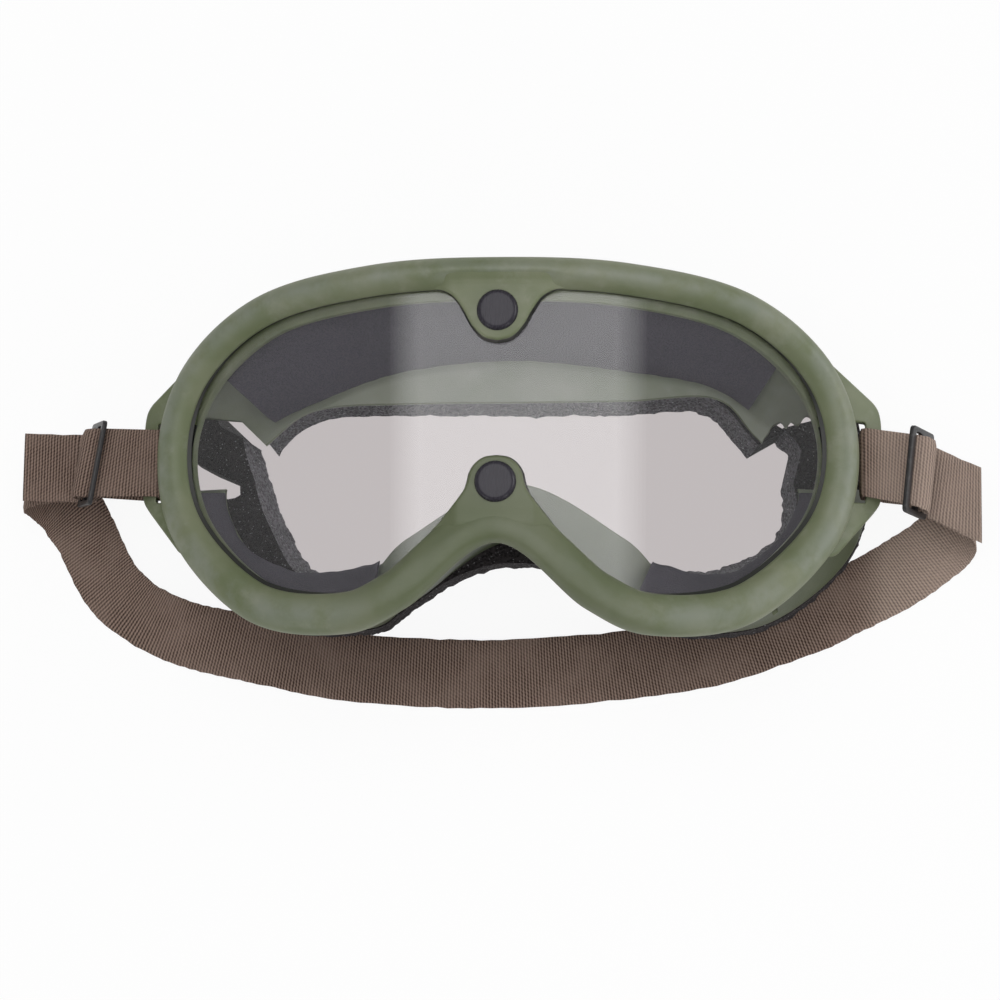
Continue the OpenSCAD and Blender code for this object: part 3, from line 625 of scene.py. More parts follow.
rim_out = loop_normal(rim)
roll_w = mix(ROLL_TOP, ROLL_LOW, (BROW_Y - rim[:, 1]) / (BROW_Y + CHEEK_Y))


def in_from(r):
    """Outline points moved in from the outside of the rim."""
    return rim - np.reshape(r, (-1, 1)) * rim_out


def lip_pt(r):
    """Outline points at the lip of the roll, moved a further r in."""
    return in_from(roll_w + r)


plan_half = on_bow(half_rim, -ROLL_BACK)[:, :2]
# Steps in plan at the ten knots of a half, right then left: from the rim to the rear corner of the wall, from
# there to the free edge of the flange, and on to the free edge of the foam
TO_CORNER = np.array([
    [[0, -19.7], [-2.5, -21.5], [-10.8, -18.6], [-13.6, -12.7], [1.6, -3.9],
     [3.7, -0.4], [2.4, 2.4], [0.5, 4.2], [4.1, 5], [0, 4.4]],
    [[0, -19.7], [-2.5, -21.5], [-11.3, -22.2], [-13.6, -12.7], [1.6, -3.9],
     [3.7, -0.4], [2.4, 2.4], [0.5, 4.2], [4.1, 5], [0, 4.4]]])
TO_EDGE = np.array([
    [[0, -12.2], [-1.6, -8.6], [0, -3.8], [-6.4, -2.6], [-16.7, -3.5],
     [-18.7, 3], [-8, 10.3], [0.4, 13.7], [1.7, 16.5], [0, 14.6]],
    [[0, -12.2], [-1, -9.3], [3, -3.2], [-1.4, -4.6], [-11.4, -3.4],
     [-14.2, 1.3], [-5.3, 10.3], [0.4, 13.7], [1.7, 16.5], [0, 14.6]]])
TO_FOAM = np.array([
    [[0, -1.6], [-1, -1.6], [-3.3, -2.2], [-2.4, -3.5], [-4.5, 1],
     [-0.9, 2.5], [-3.8, 5.3], [-1.5, 3.8], [-0.5, -0.8], [0, -1.2]],
    [[0, -1.6], [-2, -1.1], [-0.4, -0.7], [-0.9, -0.8], [-11.2, 1.4],
     [-10.5, 4.6], [-5.7, 3.7], [-0.4, 4.1], [-0.5, -0.8], [0, -1.2]]])


def rear_loop(steps):
    """A closed loop of the rear, which leans to the right as the goggles lie."""
    return spline(two_halves(*(plan_half + steps)), KNOT_STEPS, closed=True) + [LEAN, 0]


corner = rear_loop(TO_CORNER)
edge = rear_loop(TO_CORNER + TO_EDGE)
foam_edge = rear_loop(TO_CORNER + TO_EDGE + TO_FOAM)


def rear_pt(loop, r, z):
    """Points of a rear loop, r out from it and z above the face."""
    p = loop + np.reshape(r, (-1, 1)) * loop_normal(loop)
    return np.column_stack([p, face_at(p[:, 0]) + z])


def wall_out(t):
    """Outside of the wall, from the roll at 0 to the flange at 1."""
    return mix(on_bow(in_from(2), -ROLL_BACK), rear_pt(corner, 0, WALL_T), t)


def wall_in(t):
    """Inside of the wall, likewise."""
    return mix(on_bow(in_from(2 + WALL_T), GROOVE_BACK - LIP_T), rear_pt(corner, -WALL_T, WALL_T), t)


lip_in = mix(LIP_SIDE, LIP_SHOW, ramp((rim[:, 1] / BROW_Y - 0.1) / 0.7))
print("rim stations", stations, "rim width", round(float(np.ptp(on_bow(rim, 0)[:, 0])), 1))

# %% [markdown]
# ### The rubber body
# The real frame is one moulding, so its section goes round the roll, down the wall, along the flange and
# back up to the groove. It could be a bevelled curve, but that has one section for all its length, and this
# one changes at every station. Corners are rounded by a curve across each of them. Beside the snap tabs and
# at the nose the roll is lower, so that a tab seems to grow out of it. Its lip ends in a thin strip that
# lies on the lens. The strip and the groove at the sides are painted black as shadow, the wall is painted in
# shade, and the inside is painted lighter.

# %% Frame skin
TAB_T = 2.6
TAB_LOW = FIT
TAB_HIGH = TAB_LOW + TAB_T
# The lip's thin strip on the lens is painted black, as a painted shadow line: wide at the sides, narrow at
# the top.
SHADOW_STRIP_SIDE, SHADOW_STRIP_TOP = 1.1, 0.12  # width of the dark line that the lip draws on the lens
WIDE = 9.0  # rounds a corner over half of each of its sides
near_tab = ramp((19 - np.abs(rim[:, 0])) / 9)
near_nose = ramp((26 - np.abs(rim[:, 0])) / 14) * (rim[:, 1] < 0)


def roll_ring(r, w, r_tab, w_tab):
    """A line of the roll near its lip, with a lower place for it beside a tab."""
    return on_bow(lip_pt(mix(r, r_tab, near_tab)), mix(w, w_tab, near_tab))


at_side = ramp((0.95 - rim[:, 1] / BROW_Y) / 0.7) * ramp((np.abs(rim[:, 0]) - 30) / 30)
shadow_strip_w = mix(SHADOW_STRIP_TOP, SHADOW_STRIP_SIDE, at_side)
section = [(on_bow(lip_pt(shadow_strip_w), FIT), 0.1), (on_bow(lip_pt(0.03), 0.8), 0.1),
           (roll_ring(0.1, 1.3, 0.1, 1.3), WIDE), (roll_ring(-0.9, 2.8, -0.7, 2.4), WIDE),
           (roll_ring(-2.4, 4.1, -2.6, 3.0), WIDE),
           (on_bow(in_from(roll_w / 2), mix(ROLL_H, 3.7, near_nose)), WIDE),
           (on_bow(in_from(2.4), mix(4.2, 3.5, near_nose)), WIDE), (on_bow(in_from(0.75), 2.8), WIDE),
           (on_bow(in_from(-0.05), 0.8), WIDE), (on_bow(in_from(0.05), -1.2), WIDE),
           (on_bow(in_from(0.9), -3.1), WIDE),
           (wall_out(0), 0.9), (wall_out(0.5), WIDE), (wall_out(1), 1.2),
           (rear_pt(corner, 0, 0), 1.6), (rear_pt(edge, 0, 0), 0.6), (rear_pt(edge, 0, WALL_T), 0.6),
           (wall_in(1), 1.4), (wall_in(0.5), WIDE), (wall_in(0), 0.8),
           (on_bow(lip_pt(lip_in), GROOVE_BACK - LIP_T), 0.5), (on_bow(lip_pt(lip_in), GROOVE_BACK), 0.5),
           (on_bow(lip_pt(-GROOVE), GROOVE_BACK), 0.2), (on_bow(lip_pt(-GROOVE), FIT), 0.2)]
rings = fillet(np.stack([points for points, radius in section], 1), [radius for points, radius in section])
# Share of painted shade at the nose, carried as the frame's first UV number.
nose_shade = ramp((48 - np.abs(rim[:, 0])) / 30) * (rim[:, 1] < 0)
column = np.arange(rings.shape[1])
shares = np.stack(np.broadcast_arrays(nose_shade[:, None], column / rings.shape[1]), -1)
frame_skin = tube("rubber_frame", rings, closed=True, uv=shares / MM)
dress(frame_skin, rubber, rubber_painted_shadow, rubber_painted_lit_inside, rubber_painted_wall_shade)
corner_at = column / FILLET_STEPS  # each corner of the section has become this many columns
# Painted shadow: the strip on the lens and the groove at the sides take the near-black tone.
painted_shadow_faces = (corner_at >= 21.75) & (lip_in < 1.2)[:, None] | (corner_at <= 1)
# Painted light: the inside of the wall takes the paler tone.
painted_light_faces = (corner_at >= 16.5) & (corner_at < 20)
# Painted shade: the outside of the wall takes the darker tone.
painted_shade_faces = (corner_at >= 10.5) & (corner_at < 14)
tone_faces(frame_skin, np.select([painted_shadow_faces, painted_light_faces, painted_shade_faces], [1, 2, 3]))
print("frame skin", len(frame_skin.data.polygons), "faces")

# %% [markdown]
# ### Plates on the bow
# The pads behind the lens and the lens itself are plates of the bowed sheet. A flat plate could be bent by
# a modifier; here each is a grid whose columns run from a lower line to an upper one, and every point is
# put on the bow, so that its front and its rear stay parallel.

# %% Bowed plates


def bowed_plate(name, x, low, high, w_low, w_high, rows=12):
    """Closed plate: column x runs from low to high on the rear face and back on the front face."""
    t = np.linspace(0, 1, rows)
    front = np.stack([np.repeat(x[:, None], rows, 1), mix(low[:, None], high[:, None], t)], -1)
    rear = front[:, ::-1]
    ring = np.concatenate([on_bow(front, w_high), on_bow(rear, w_low)], 1)
    return tube(name, ring)


def ease(n):
    """n shares from 0 to 1, close together at both ends."""
    return (1 - np.cos(np.linspace(0, np.pi, n))) / 2


LIP_TOP_Y = BROW_Y - ROLL_TOP
LIP_NOSE_Y = -ARCH_Y + float(roll_w[stations // 2])
CAP_D, SNAP_DROP = 10.4, 5.8
SNAP_Y = LIP_TOP_Y - SNAP_DROP
PAD_R = CAP_D / 2 + 1.6


def snap_pad(name, y, top):
    """Half round plate behind the lens: a circle about (0, y), run straight up or down to top."""
    x = PAD_R * (2 * ease(41) - 1)
    round_edge = np.sqrt(np.maximum(PAD_R**2 - x * x, 0))
    flat_edge = np.full(len(x), top)
    ends = (y - round_edge, flat_edge) if top > y else (flat_edge, y + round_edge)
    return bowed_plate(name, x, *ends, GROOVE_BACK - LIP_T + 0.1, GROOVE_BACK - 0.1)


combine(frame_skin, snap_pad("top_pad", SNAP_Y, LIP_TOP_Y + GROOVE), "UNION")
combine(frame_skin, snap_pad("nose_pad", 0.0, LIP_NOSE_Y - GROOVE), "UNION")
print("with pads", len(frame_skin.data.polygons))

# %% [markdown]
# ### Flat plates with holes
# Lugs and slides are flat plates with slots and rounded edges. The slots could be cut out of a block; a
# filled flat curve gives plate, holes and round edges in one.

# %% Flat curve plates


def flat_plate(name, outlines, thickness, bevel):
    """Plate between flat outlines, the first its edge and the others holes, with rounded edges. The bevel
    grows outwards from a curve, so each outline is drawn in by it first."""
    curve = bpy.data.curves.new(name, "CURVE")
    curve.dimensions = "2D"
    curve.fill_mode = "BOTH"
    curve.extrude = thickness / 2 - bevel
    curve.bevel_depth = bevel
    curve.bevel_resolution = 4
    for n, outline in enumerate(outlines):
        inward = -bevel if n == 0 else bevel
        points = np.asarray(outline, float)
        points = points + inward * loop_normal(points) * (1 if signed_area(points) < 0 else -1)
        line = curve.splines.new("POLY")
        line.points.add(len(points) - 1)
        flat = np.column_stack([points, np.zeros(len(points)), np.ones(len(points))])
        line.points.foreach_set("co", flat.ravel())
        line.use_cyclic_u = True
    holder = bpy.data.objects.new(name, curve)
    bpy.context.collection.objects.link(holder)
    graph = bpy.context.evaluated_depsgraph_get()
    mesh = bpy.data.meshes.new_from_object(holder.evaluated_get(graph))
    bpy.data.objects.remove(holder)
    verts = np.empty(len(mesh.vertices) * 3)
    mesh.vertices.foreach_get("co", verts)
    faces = [list(f.vertices) for f in mesh.polygons]
    return verts.reshape(-1, 3), faces


def signed_area(loop):
    """Area of a loop: above zero where it runs anticlockwise."""
    x, y = loop[:, 0], loop[:, 1]
    return 0.5 * float(np.sum(x * np.roll(y, -1) - np.roll(x, -1) * y))


def box_plan(x, y, wide, tall):
    """Four corners of a plan box about (x, y)."""
    return np.array([[-wide, -tall], [wide, -tall], [wide, tall], [-wide, tall]]) / 2 + [x, y]


def round_corners(loop, radius, steps=5):
    """A closed plan loop with its corners rounded."""
    flat = np.column_stack([loop, np.zeros(len(loop))])[None]
    return fillet(flat, np.broadcast_to(radius, len(loop)), steps)[0][:, :2]


def welded(verts, faces):
    """Merges vertices that lie in one place, so that a plate is one closed skin."""
    keys = np.round(verts, 4)
    _, first, back = np.unique(keys, axis=0, return_index=True, return_inverse=True)
    back = back.reshape(-1)
    merged = [[int(back[v]) for v in f] for f in faces]
    merged = [f for f in merged if len(set(f)) > 2]
    return verts[first], merged


# %% [markdown]
# ### Strap lugs
# A lug is a flat ear with a slot for the webbing, moulded in one with the frame. It could be a part of the
# section, but it is only at the sides. So it is a flat plate whose vertices are set down on the bowed
# sheet, and it is joined to the frame.

# %% Lugs
LUG_X = BOW_R * math.sin(HALF_RIM / BOW_R) + 6.8
LUG_T, LUG_BAR, LUG_SLOT = 3.0, 4.2, 3.8
LUG_TOP = -ROLL_BACK + 0.8
WEB_W, WEB_T, WEB_Y = 18.0, 1.2, 10.0
SLOT_LEN = WEB_W + 2.8


def add_lug(side):
    """One ear: root points inside the wall, then round the tip; its slot is a rounded hole."""
    span = slice(2 * KNOT_STEPS + 12, 5 * KNOT_STEPS + 5, 4)
    root = on_bow(in_from(4), LUG_TOP)[span][::-1, :2]
    low, high = WEB_Y - SLOT_LEN / 2, WEB_Y + SLOT_LEN / 2
    tip = [[0.8 * LUG_X, 0.7 * BROW_Y], [LUG_X - 1, high + 4.6], [LUG_X, high + 1],
           [LUG_X, low + 1], [LUG_X - 1.6, low - 1.6], [0.873 * LUG_X, -0.4 * CHEEK_Y]]
    outline = round_corners(np.vstack([root, tip]), 2.2)
    hole = round_corners(box_plan(LUG_X - LUG_BAR - LUG_SLOT / 2, WEB_Y, LUG_SLOT, SLOT_LEN), 0.6)
    verts, faces = welded(*flat_plate("lug", [outline, hole], LUG_T, 0.6))
    verts[:, 2] = bow_z(verts[:, 0], LUG_TOP - LUG_T / 2 + verts[:, 2])
    combine(frame_skin, finish_mesh("lug", verts * [side, 1, 1], faces), "UNION")


for side in (-1, 1):
    add_lug(side)
print("with lugs", len(frame_skin.data.polygons))

# %% [markdown]
# ### Windows
# Behind the lugs the wall and the flange are cut away, neatly on the left and raggedly on the right. The
# grid could be left open there, but its edges would be steps, so a prism cuts them.

# %% Windows in the temples
WINDOW_LOW, WINDOW_HIGH = 4.5, 22.0


def cut_window(side):
    """Cuts wall and flange away behind the lug: a prism whose top follows the bow just under the lug."""
    knots = np.array([[0.63, -9], [0.66, -7], [0.73, -0.5], [1.1, 0.5]]) * [LUG_X, 1]
    x = np.linspace(knots[0, 0], knots[-1, 0], 90)
    high = WINDOW_HIGH + np.interp(x, *knots.T)
    if side > 0:
        high = high + 0.7 * rough(on_x_axis(x), 3.5, 12) + 0.5 * rough(on_x_axis(x), 1.4, 13)
    low, under, over = np.full(len(x), WINDOW_LOW), np.full(len(x), -1.0), bow_z(x, LUG_TOP - LUG_T - 1)
    corners = (low, under), (high, under), (high, over), (low, over)
    ring = np.stack([np.stack([x, y, z], -1) for y, z in corners], 1)
    combine(frame_skin, tube("window", ring * [side, 1, 1]), "DIFFERENCE")


for side in (-1, 1):
    cut_window(side)
print("windows cut", len(frame_skin.data.polygons))

# %% [markdown]
# ### Vent slots
# Air gets in through narrow slots in the wall. They could be painted dark, but they are seen from the side
# and let light through. Each is a box that is turned to the wall at its station, and all of them cut at
# once.

# %% Vent slots
STEP_RATIO = KNOT_STEPS // 5  # this outline has four stations for each one of the model
SLOT_W, SLOT_L = 1.6, 6.0


def slot_box(i):
    """Box through the wall at station i, with its length down the wall."""
    a, b = wall_out(0.55)[i], wall_in(0.55)[i]
    run = b - a
    yaw = math.atan2(run[1], run[0])
    rise = math.atan2(run[2], math.hypot(run[0], run[1]))
    turn = np.array(Matrix.Rotation(yaw, 3, "Z") @ Matrix.Rotation(-rise, 3, "Y"))
    size = np.array([WALL_T + 6, SLOT_W, SLOT_L]) / 2
    corners = np.array([[x, y, z] for x in (-1, 1) for y in (-1, 1) for z in (-1, 1)]) * size
    return corners @ turn.T + (a + b) / 2


BOX_FACES = [[0, 1, 3, 2], [4, 6, 7, 5], [0, 4, 5, 1], [2, 3, 7, 6], [0, 2, 6, 4], [1, 5, 7, 3]]
brow = [STEP_RATIO * i for i in range(2, 13, 2)]
cheek = [STEP_RATIO * i for i in range(29, 42, 2)]
slot_at = [0] + [j for i in brow + cheek for j in (i, stations - i)]
boxes = np.vstack([slot_box(i) for i in slot_at])
box_faces = [[v + 8 * n for v in f] for n in range(len(slot_at)) for f in BOX_FACES]
combine(frame_skin, finish_mesh("slots", boxes, box_faces), "DIFFERENCE")
frame_skin.data.set_sharp_from_angle(angle=math.radians(38))
stand_in(frame_skin, "frame", "goggles")
print("vent slots", len(slot_at), "faces", len(frame_skin.data.polygons))

# %% [markdown]
# ## Lens
# The real sheet is cut to the groove and bows with it, so its outline is the lip of the roll moved out into
# the groove. It could be cut from a bowed block; as a bowed plate it has clean columns, and its reflection
# is smooth.

# %% Lens sheet
lens_line = lip_pt(-(GROOVE - FIT))


def edge_at(x, part):
    """Height of a part of the lens outline at each x, where the part is a function of x."""
    order = np.argsort(part[:, 0])
    return np.interp(x, part[order, 0], part[order, 1])


tip = int(np.argmax(lens_line[:, 0]))
top_part = np.vstack([lens_line[: tip + 1], lens_line[: tip + 1] * [-1, 1]])
low_part = np.vstack([lens_line[tip : stations // 2 + 1], lens_line[tip : stations // 2 + 1] * [-1, 1]])
lens_x = (float(lens_line[tip, 0]) - FIT) * (2 * ease(181) - 1)
lens_sheet = bowed_plate("lens_sheet", lens_x, edge_at(lens_x, low_part), edge_at(lens_x, top_part),
                         -LENS_T, 0.0, rows=40)
stand_in(dress(lens_sheet, lens_clear), "lens", "goggles")
print("lens", len(lens_sheet.data.polygons), "faces")

# %% [markdown]
# ## Snap tabs
# Each tab is a thick flap of the same rubber. On the real frame it is moulded in one with the roll, so its
# root dives under the roll's lip and widens there. It could be a plate with a bevel, but its top rises
# towards the root, so it is a grid over its outline. It lies flat round the snap and follows the bow at its
# root. The edge of its underside reaches out a little and is painted dark, as painted shadow where it meets
# the lens.

# %% Tabs
TOP, NOSE = -1, 1  # the way from the hinge to the tip, along Y
HINGE_Y = {TOP: LIP_TOP_Y - FIT, NOSE: LIP_NOSE_Y + FIT}
SNAP_V = {TOP: HINGE_Y[TOP] - SNAP_Y, NOSE: -HINGE_Y[NOSE]}
TAB_BEVEL, TAB_STIFF, TAB_SHADOW_LINE = 0.8, 7.0, 0.4
TAB_ACROSS = 49


def flap(name, half, heights, way, reach):
    """Flap from a right half outline of (x, v), where v is the distance past the hinge line towards the tip,
    and heights of its top as (v, height). Its edge is a quarter circle of the bevel, its root bends with the
    bow, and past reach to either side the root falls away under the roll."""
    right = spline(half, 8)
    x, v = right[:, :1] * (2 * ease(TAB_ACROSS) - 1), np.repeat(right[:, 1:], TAB_ACROSS, 1)
    line = np.vstack([right, right[::-1] * [-1, 1]])
    far = np.min(np.hypot(x[..., None] - line[:, 0], v[..., None] - line[:, 1]), -1)
    rest = 1 - np.clip(far / TAB_BEVEL, 0, 1)
    drop = TAB_BEVEL * (1 - np.sqrt(1 - rest**2))
    bend = (LENS_TOP - bow_z(x, 0)) * ramp((TAB_STIFF - v) / TAB_STIFF)
    fall = 1.2 * ramp((np.abs(x) - reach) / 5) * ramp((1.5 - v) / 3)
    top = np.interp(v, *np.asarray(heights).T) - drop - bend - fall
    low = TAB_LOW - bend
    y = HINGE_Y[way] + way * v
    upper = np.dstack([x, y, LENS_TOP + np.maximum(top, low + 0.1)])
    # The underside reaches past the top by the width of the painted shadow line.
    at_rim = np.clip(1 - far / 0.5, 0, 1) * TAB_SHADOW_LINE
    from_pad = unit(np.dstack([x, v - SNAP_V[way]]) + 1e-6)
    lower = np.dstack([x + at_rim * from_pad[..., 0], y + way * at_rim * from_pad[..., 1], LENS_TOP + low])
    rings = np.concatenate([upper, lower[:, ::-1]], 1)
    # The nose tab's first UV number is 1, so its rubber takes the painted shade of the nose.
    uv = np.zeros((*rings.shape[:2], 2)) + [(way == NOSE) / MM, 0]
    piece = dress(tube(name, rings, uv=uv, sharp=50), rubber, rubber_painted_shadow)
    column = np.tile(np.arange(2 * TAB_ACROSS), len(rings) - 1)
    # Painted shadow: the faces round the edge of the underside take the near-black tone.
    on_shadow_line = (column == TAB_ACROSS - 1) | (column == 2 * TAB_ACROSS - 1)
    tone_faces(piece, [*on_shadow_line, 1, 1])
    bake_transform(piece)
    return piece


top_tip = SNAP_V[TOP] + 7.6
pad = PAD_R + 3
top_half = np.array([[21, -6], [19, -2.6], [16.6, -0.5], [13.6, 0.03 * top_tip], [1.12 * pad, 0.16 * top_tip],
                     [0.87 * pad, 0.42 * top_tip], [0.66 * pad, 0.7 * top_tip], [0.36 * pad, 0.93 * top_tip],
                     [0, top_tip]])
top_heights = [[-6, 3.6], [-4.6, 4.3], [-3.4, 3.9], [-2.2, 3.35], [-1, 3.05], [0.8, TAB_HIGH], [20, TAB_HIGH]]
nose_half = np.array([[17, -9.5], [16.4, -7.6], [14.4, -5.5], [12.9, -3.6], [11.1, -1.4], [9.3, 0.9],
                      [7.8, 3.1], [7.0, 5.3], [6.5, 7.4], [5.1, 9.6], [2.9, 11.1], [0, SNAP_V[NOSE] + 6.6]])
nose_heights = [[-9.5, 0.8], [-7.6, 2.4], [-6, 3.2], [-5, 3.35], [-3.4, 3.25], [-1.6, 3.0], [0.8, TAB_HIGH],
                [20, TAB_HIGH]]
top_tab = flap("top_tab_flap", top_half, top_heights, TOP, 12)
nose_tab = flap("nose_tab_flap", nose_half, nose_heights, NOSE, 9)
stand_in(top_tab, "top_lens_tab")
stand_in(nose_tab, "nose_lens_tab")
print("tabs", len(top_tab.data.polygons), len(nose_tab.data.polygons))

# %% [markdown]
# ## Snap caps
# A cap is pressed from brass sheet: a low crown, and an edge that turns down to the rubber. It could be a
# squashed ball, but then the edge would be too soft, so a profile is turned about its axis. What else there
# is of the snaps hardly shows, and keeps the shapes of the model.

# %% Caps


def turned(name, profile, place, n=72):
    """Shape turned in n steps from (radius, height) points that start and end on the axis: each point of the
    line goes round a circle of its radius, and the two ends are closed with fans."""
    turn = np.linspace(0, 2 * np.pi, n, endpoint=False)[:, None]
    r, h = profile[1:-1].T
    rings = np.stack([r * np.cos(turn), r * np.sin(turn), h + 0 * turn], -1)
    verts = np.vstack([rings.reshape(-1, 3), [[0, 0, profile[0, 1]], [0, 0, profile[-1, 1]]]]) + place
    k = len(r)
    faces = grid_faces(n, k, wrap_rows=True)[:, ::-1].tolist()
    faces += [[(i + 1) % n * k, i * k, n * k] for i in range(n)]
    faces += [[i * k + k - 1, (i + 1) % n * k + k - 1, n * k + 1] for i in range(n)]
    return finish_mesh(name, verts, faces, sharp=50)


CAP_CROWN = [[0.01, 1.5], [2.2, 1.47], [3.8, 1.38], [4.4, 1.24], [4.8, 0.93], [5.08, 0.48], [CAP_D / 2, 0.1]]
CAP_UNDER = [[CAP_D / 2, 0.0], [CAP_D / 2 - 0.5, -0.02], [0, -0.02]]
cap_profile = np.vstack([[[0, 1.5]], spline(CAP_CROWN, 4), CAP_UNDER])
for name, y in (("top", SNAP_Y), ("nose", 0.0)):
    cap = dress(turned(name + "_cap", cap_profile, [0, y, LENS_TOP + TAB_HIGH]), enamel)
    stand_in(cap, name + "_snap_cap", name + "_tab")
    for piece in ("socket", "stud", "post"):
        dress(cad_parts[f"{name}_snap_{piece}"], plated)
print("caps at", round(SNAP_Y, 2), 0)

# %% [markdown]
# ## Vent foam
# Strips of thin foam are stuck to the inside of the wall behind the vent slots, and keep dust out. The one
# at the brow follows the wall. The two at the cheeks span from under the lens to the edge of the flange, so
# they show as broad dark bands. Each could be a thickened copy of the wall; as a grid of its own it can
# leave the wall, and thin out at its edges.

# %% Vent foam strips
VENT_GAP, VENT_T = 0.5, 2.6


def foam_piece(name, rings, node, fill, sharp, *materials):
    """Foam skin over a row of sections. Its edges that turn by more than sharp degrees stay crisp."""
    strip = dress(tube(name, rings, sharp=sharp), *materials)
    stand_in(strip, node, "goggles")
    return strip


def brow_vent():
    """Strip behind the brow wall, from a tenth to nine tenths of its depth: out from the wall by the gap,
    then by a thickness that is least at both edges."""
    i = np.arange(-14 * STEP_RATIO, 13 * STEP_RATIO + 1) % stations
    top, down = wall_in(0.0)[i], wall_in(1.0)[i] - wall_in(0.0)[i]
    inward = unit(np.cross(down, along(wall_in(0.5)[i])))[:, None]
    outer = top[:, None] + down[:, None] * np.linspace(0.1, 0.9, 9)[None, :, None] + inward * VENT_GAP
    crown = VENT_T * (1 - 0.35 * np.abs(np.linspace(-1, 1, 9)) ** 6)[None, :, None]
    inner = outer + inward * crown
    inner = inner + inward * 0.12 * rough(inner, 5, 3)[..., None]
    rings = np.hstack([outer, inner[:, ::-1]])
    return foam_piece("brow_vent_strip", rings, "brow_vent_foam", 0.5, 55, vent_grey)


def loop_at(loop, s):
    """Points of a closed loop at fractional stations."""
    low = np.floor(s).astype(int)
    return mix(loop[low % stations], loop[(low + 1) % stations], (s - low)[:, None])


CHEEK_TOP, CHEEK_END = 21 * STEP_RATIO, 37 * STEP_RATIO
VENT_OVER = 2.5


def cheek_vent(side, node):
    """Strip that spans from under the rear lip to the edge of the flange, low in the cheek. Its upper end is
    cut square, so the ends of its two edges lie at different stations."""
    q = np.arange(CHEEK_TOP, CHEEK_END + 1).astype(float)
    skew = np.clip((CHEEK_TOP + 3 * STEP_RATIO - q) / (3 * STEP_RATIO), 0, 1) * STEP_RATIO
    stride = np.minimum(np.arange(stations), stations - np.arange(stations)) / STEP_RATIO
    over = VENT_OVER * ramp((stride - 24) / 5) * ramp((38 - stride) / 3)
    at_lip, at_flange = side * (q + 1.4 * skew), side * (q - 0.5 * skew)
    beside_wall, under_lip = in_from(2 + WALL_T + VENT_GAP), GROOVE_BACK - LIP_T - VENT_GAP
    on_flange = WALL_T + VENT_GAP
    lip = [loop_at(on_bow(beside_wall, under_lip - drop), at_lip) for drop in (0, 1.2 * VENT_T)]
    flange = [loop_at(rear_pt(edge, -over, on_flange + rise), at_flange) for rise in (0, 0.8 * VENT_T)]
    t = np.linspace(0, 1, 12)[None, :, None]
    under = mix(lip[1][:, None], flange[0][:, None], t)
    upper = mix(lip[0][:, None], flange[1][:, None], t)
    upper[:, -1] = mix(upper[:, -1], under[:, -1], 0.3)
    edge_wave = 0.25 * rough(under[:, -1:], 4, 9)[..., None] * unit(flange[0] - lip[1])[:, None]
    upper[:, -3:] += edge_wave
    under[:, -3:] += edge_wave
    return foam_piece(node + "_strip", np.hstack([upper, under[:, ::-1]]), node, 0.5, 55, vent_grey)


vent_strips = [brow_vent(), cheek_vent(-1, "left_cheek_vent_foam"), cheek_vent(1, "right_cheek_vent_foam")]
print("vent strips", [len(v.data.polygons) for v in vent_strips])

# %% [markdown]
# ## Face foam
# Two strips of thick foam are glued under the flange. The brow strip ends in points at the temples; the
# cheek strip swings out and up there, into the windows of the wall. Their cut faces are ragged and painted
# paler, as lit, and the rest darker, as in shade; and the table flattens them where they rest. A plain block
# could be bent to the flange, but a section carried along it takes every change of width. The swing is a
# shift in plan that grows towards the ends, and noise pushes the cut faces in and out.

# %% Face foam strips
FOAM_T, FOAM_OVER, NOSE_FOAM = 11.0, 0.3, 5.5  # thickness, and reach past the corner, and more at the nose
CUT_SLANT, CUT_SLANT_NOSE = 3.4, 0.5  # how far the free face leans in
ACROSS = 15  # columns across the strip
SWING_END, NOTCH = 20 * STEP_RATIO, 0.4 * STEP_RATIO  # stations
SWING_LIP = [11, 10], [11, 8.8]  # shift of the outer edge in plan, right and left
SWING_FREE = [2.6, 8], [3.8, 4.5]  # shift of the free edge
CROWN = 7.5  # further shift towards the brow, midway across the left end


def swing(s, t):
    """Shift in plan at stations s and shares t across. The upper ends swing out and up into the windows;
    the right one ends in a notch, and the left one bulges."""
    right = s < stations / 2
    q = np.where(right, s, stations - s)
    at_wall = np.clip((SWING_END - q) / (3 * STEP_RATIO), 0, 1)
    at_edge = np.where(right, np.clip((SWING_END - q) / NOTCH, 0, 1), at_wall)
    at_lip = np.where(right[:, None], *SWING_LIP) * at_wall[:, None]
    at_free = np.where(right[:, None], *SWING_FREE) * at_edge[:, None]
    crown = np.where(right, 0, CROWN)[:, None, None] * t * ramp((0.52 - t) / 0.08) * at_wall[:, None, None]
    move = mix(at_lip[:, None], at_free[:, None], t) + crown * [0, 1]
    return move * np.stack([np.where(right, 1, -1), np.ones(len(s))], -1)[:, None]


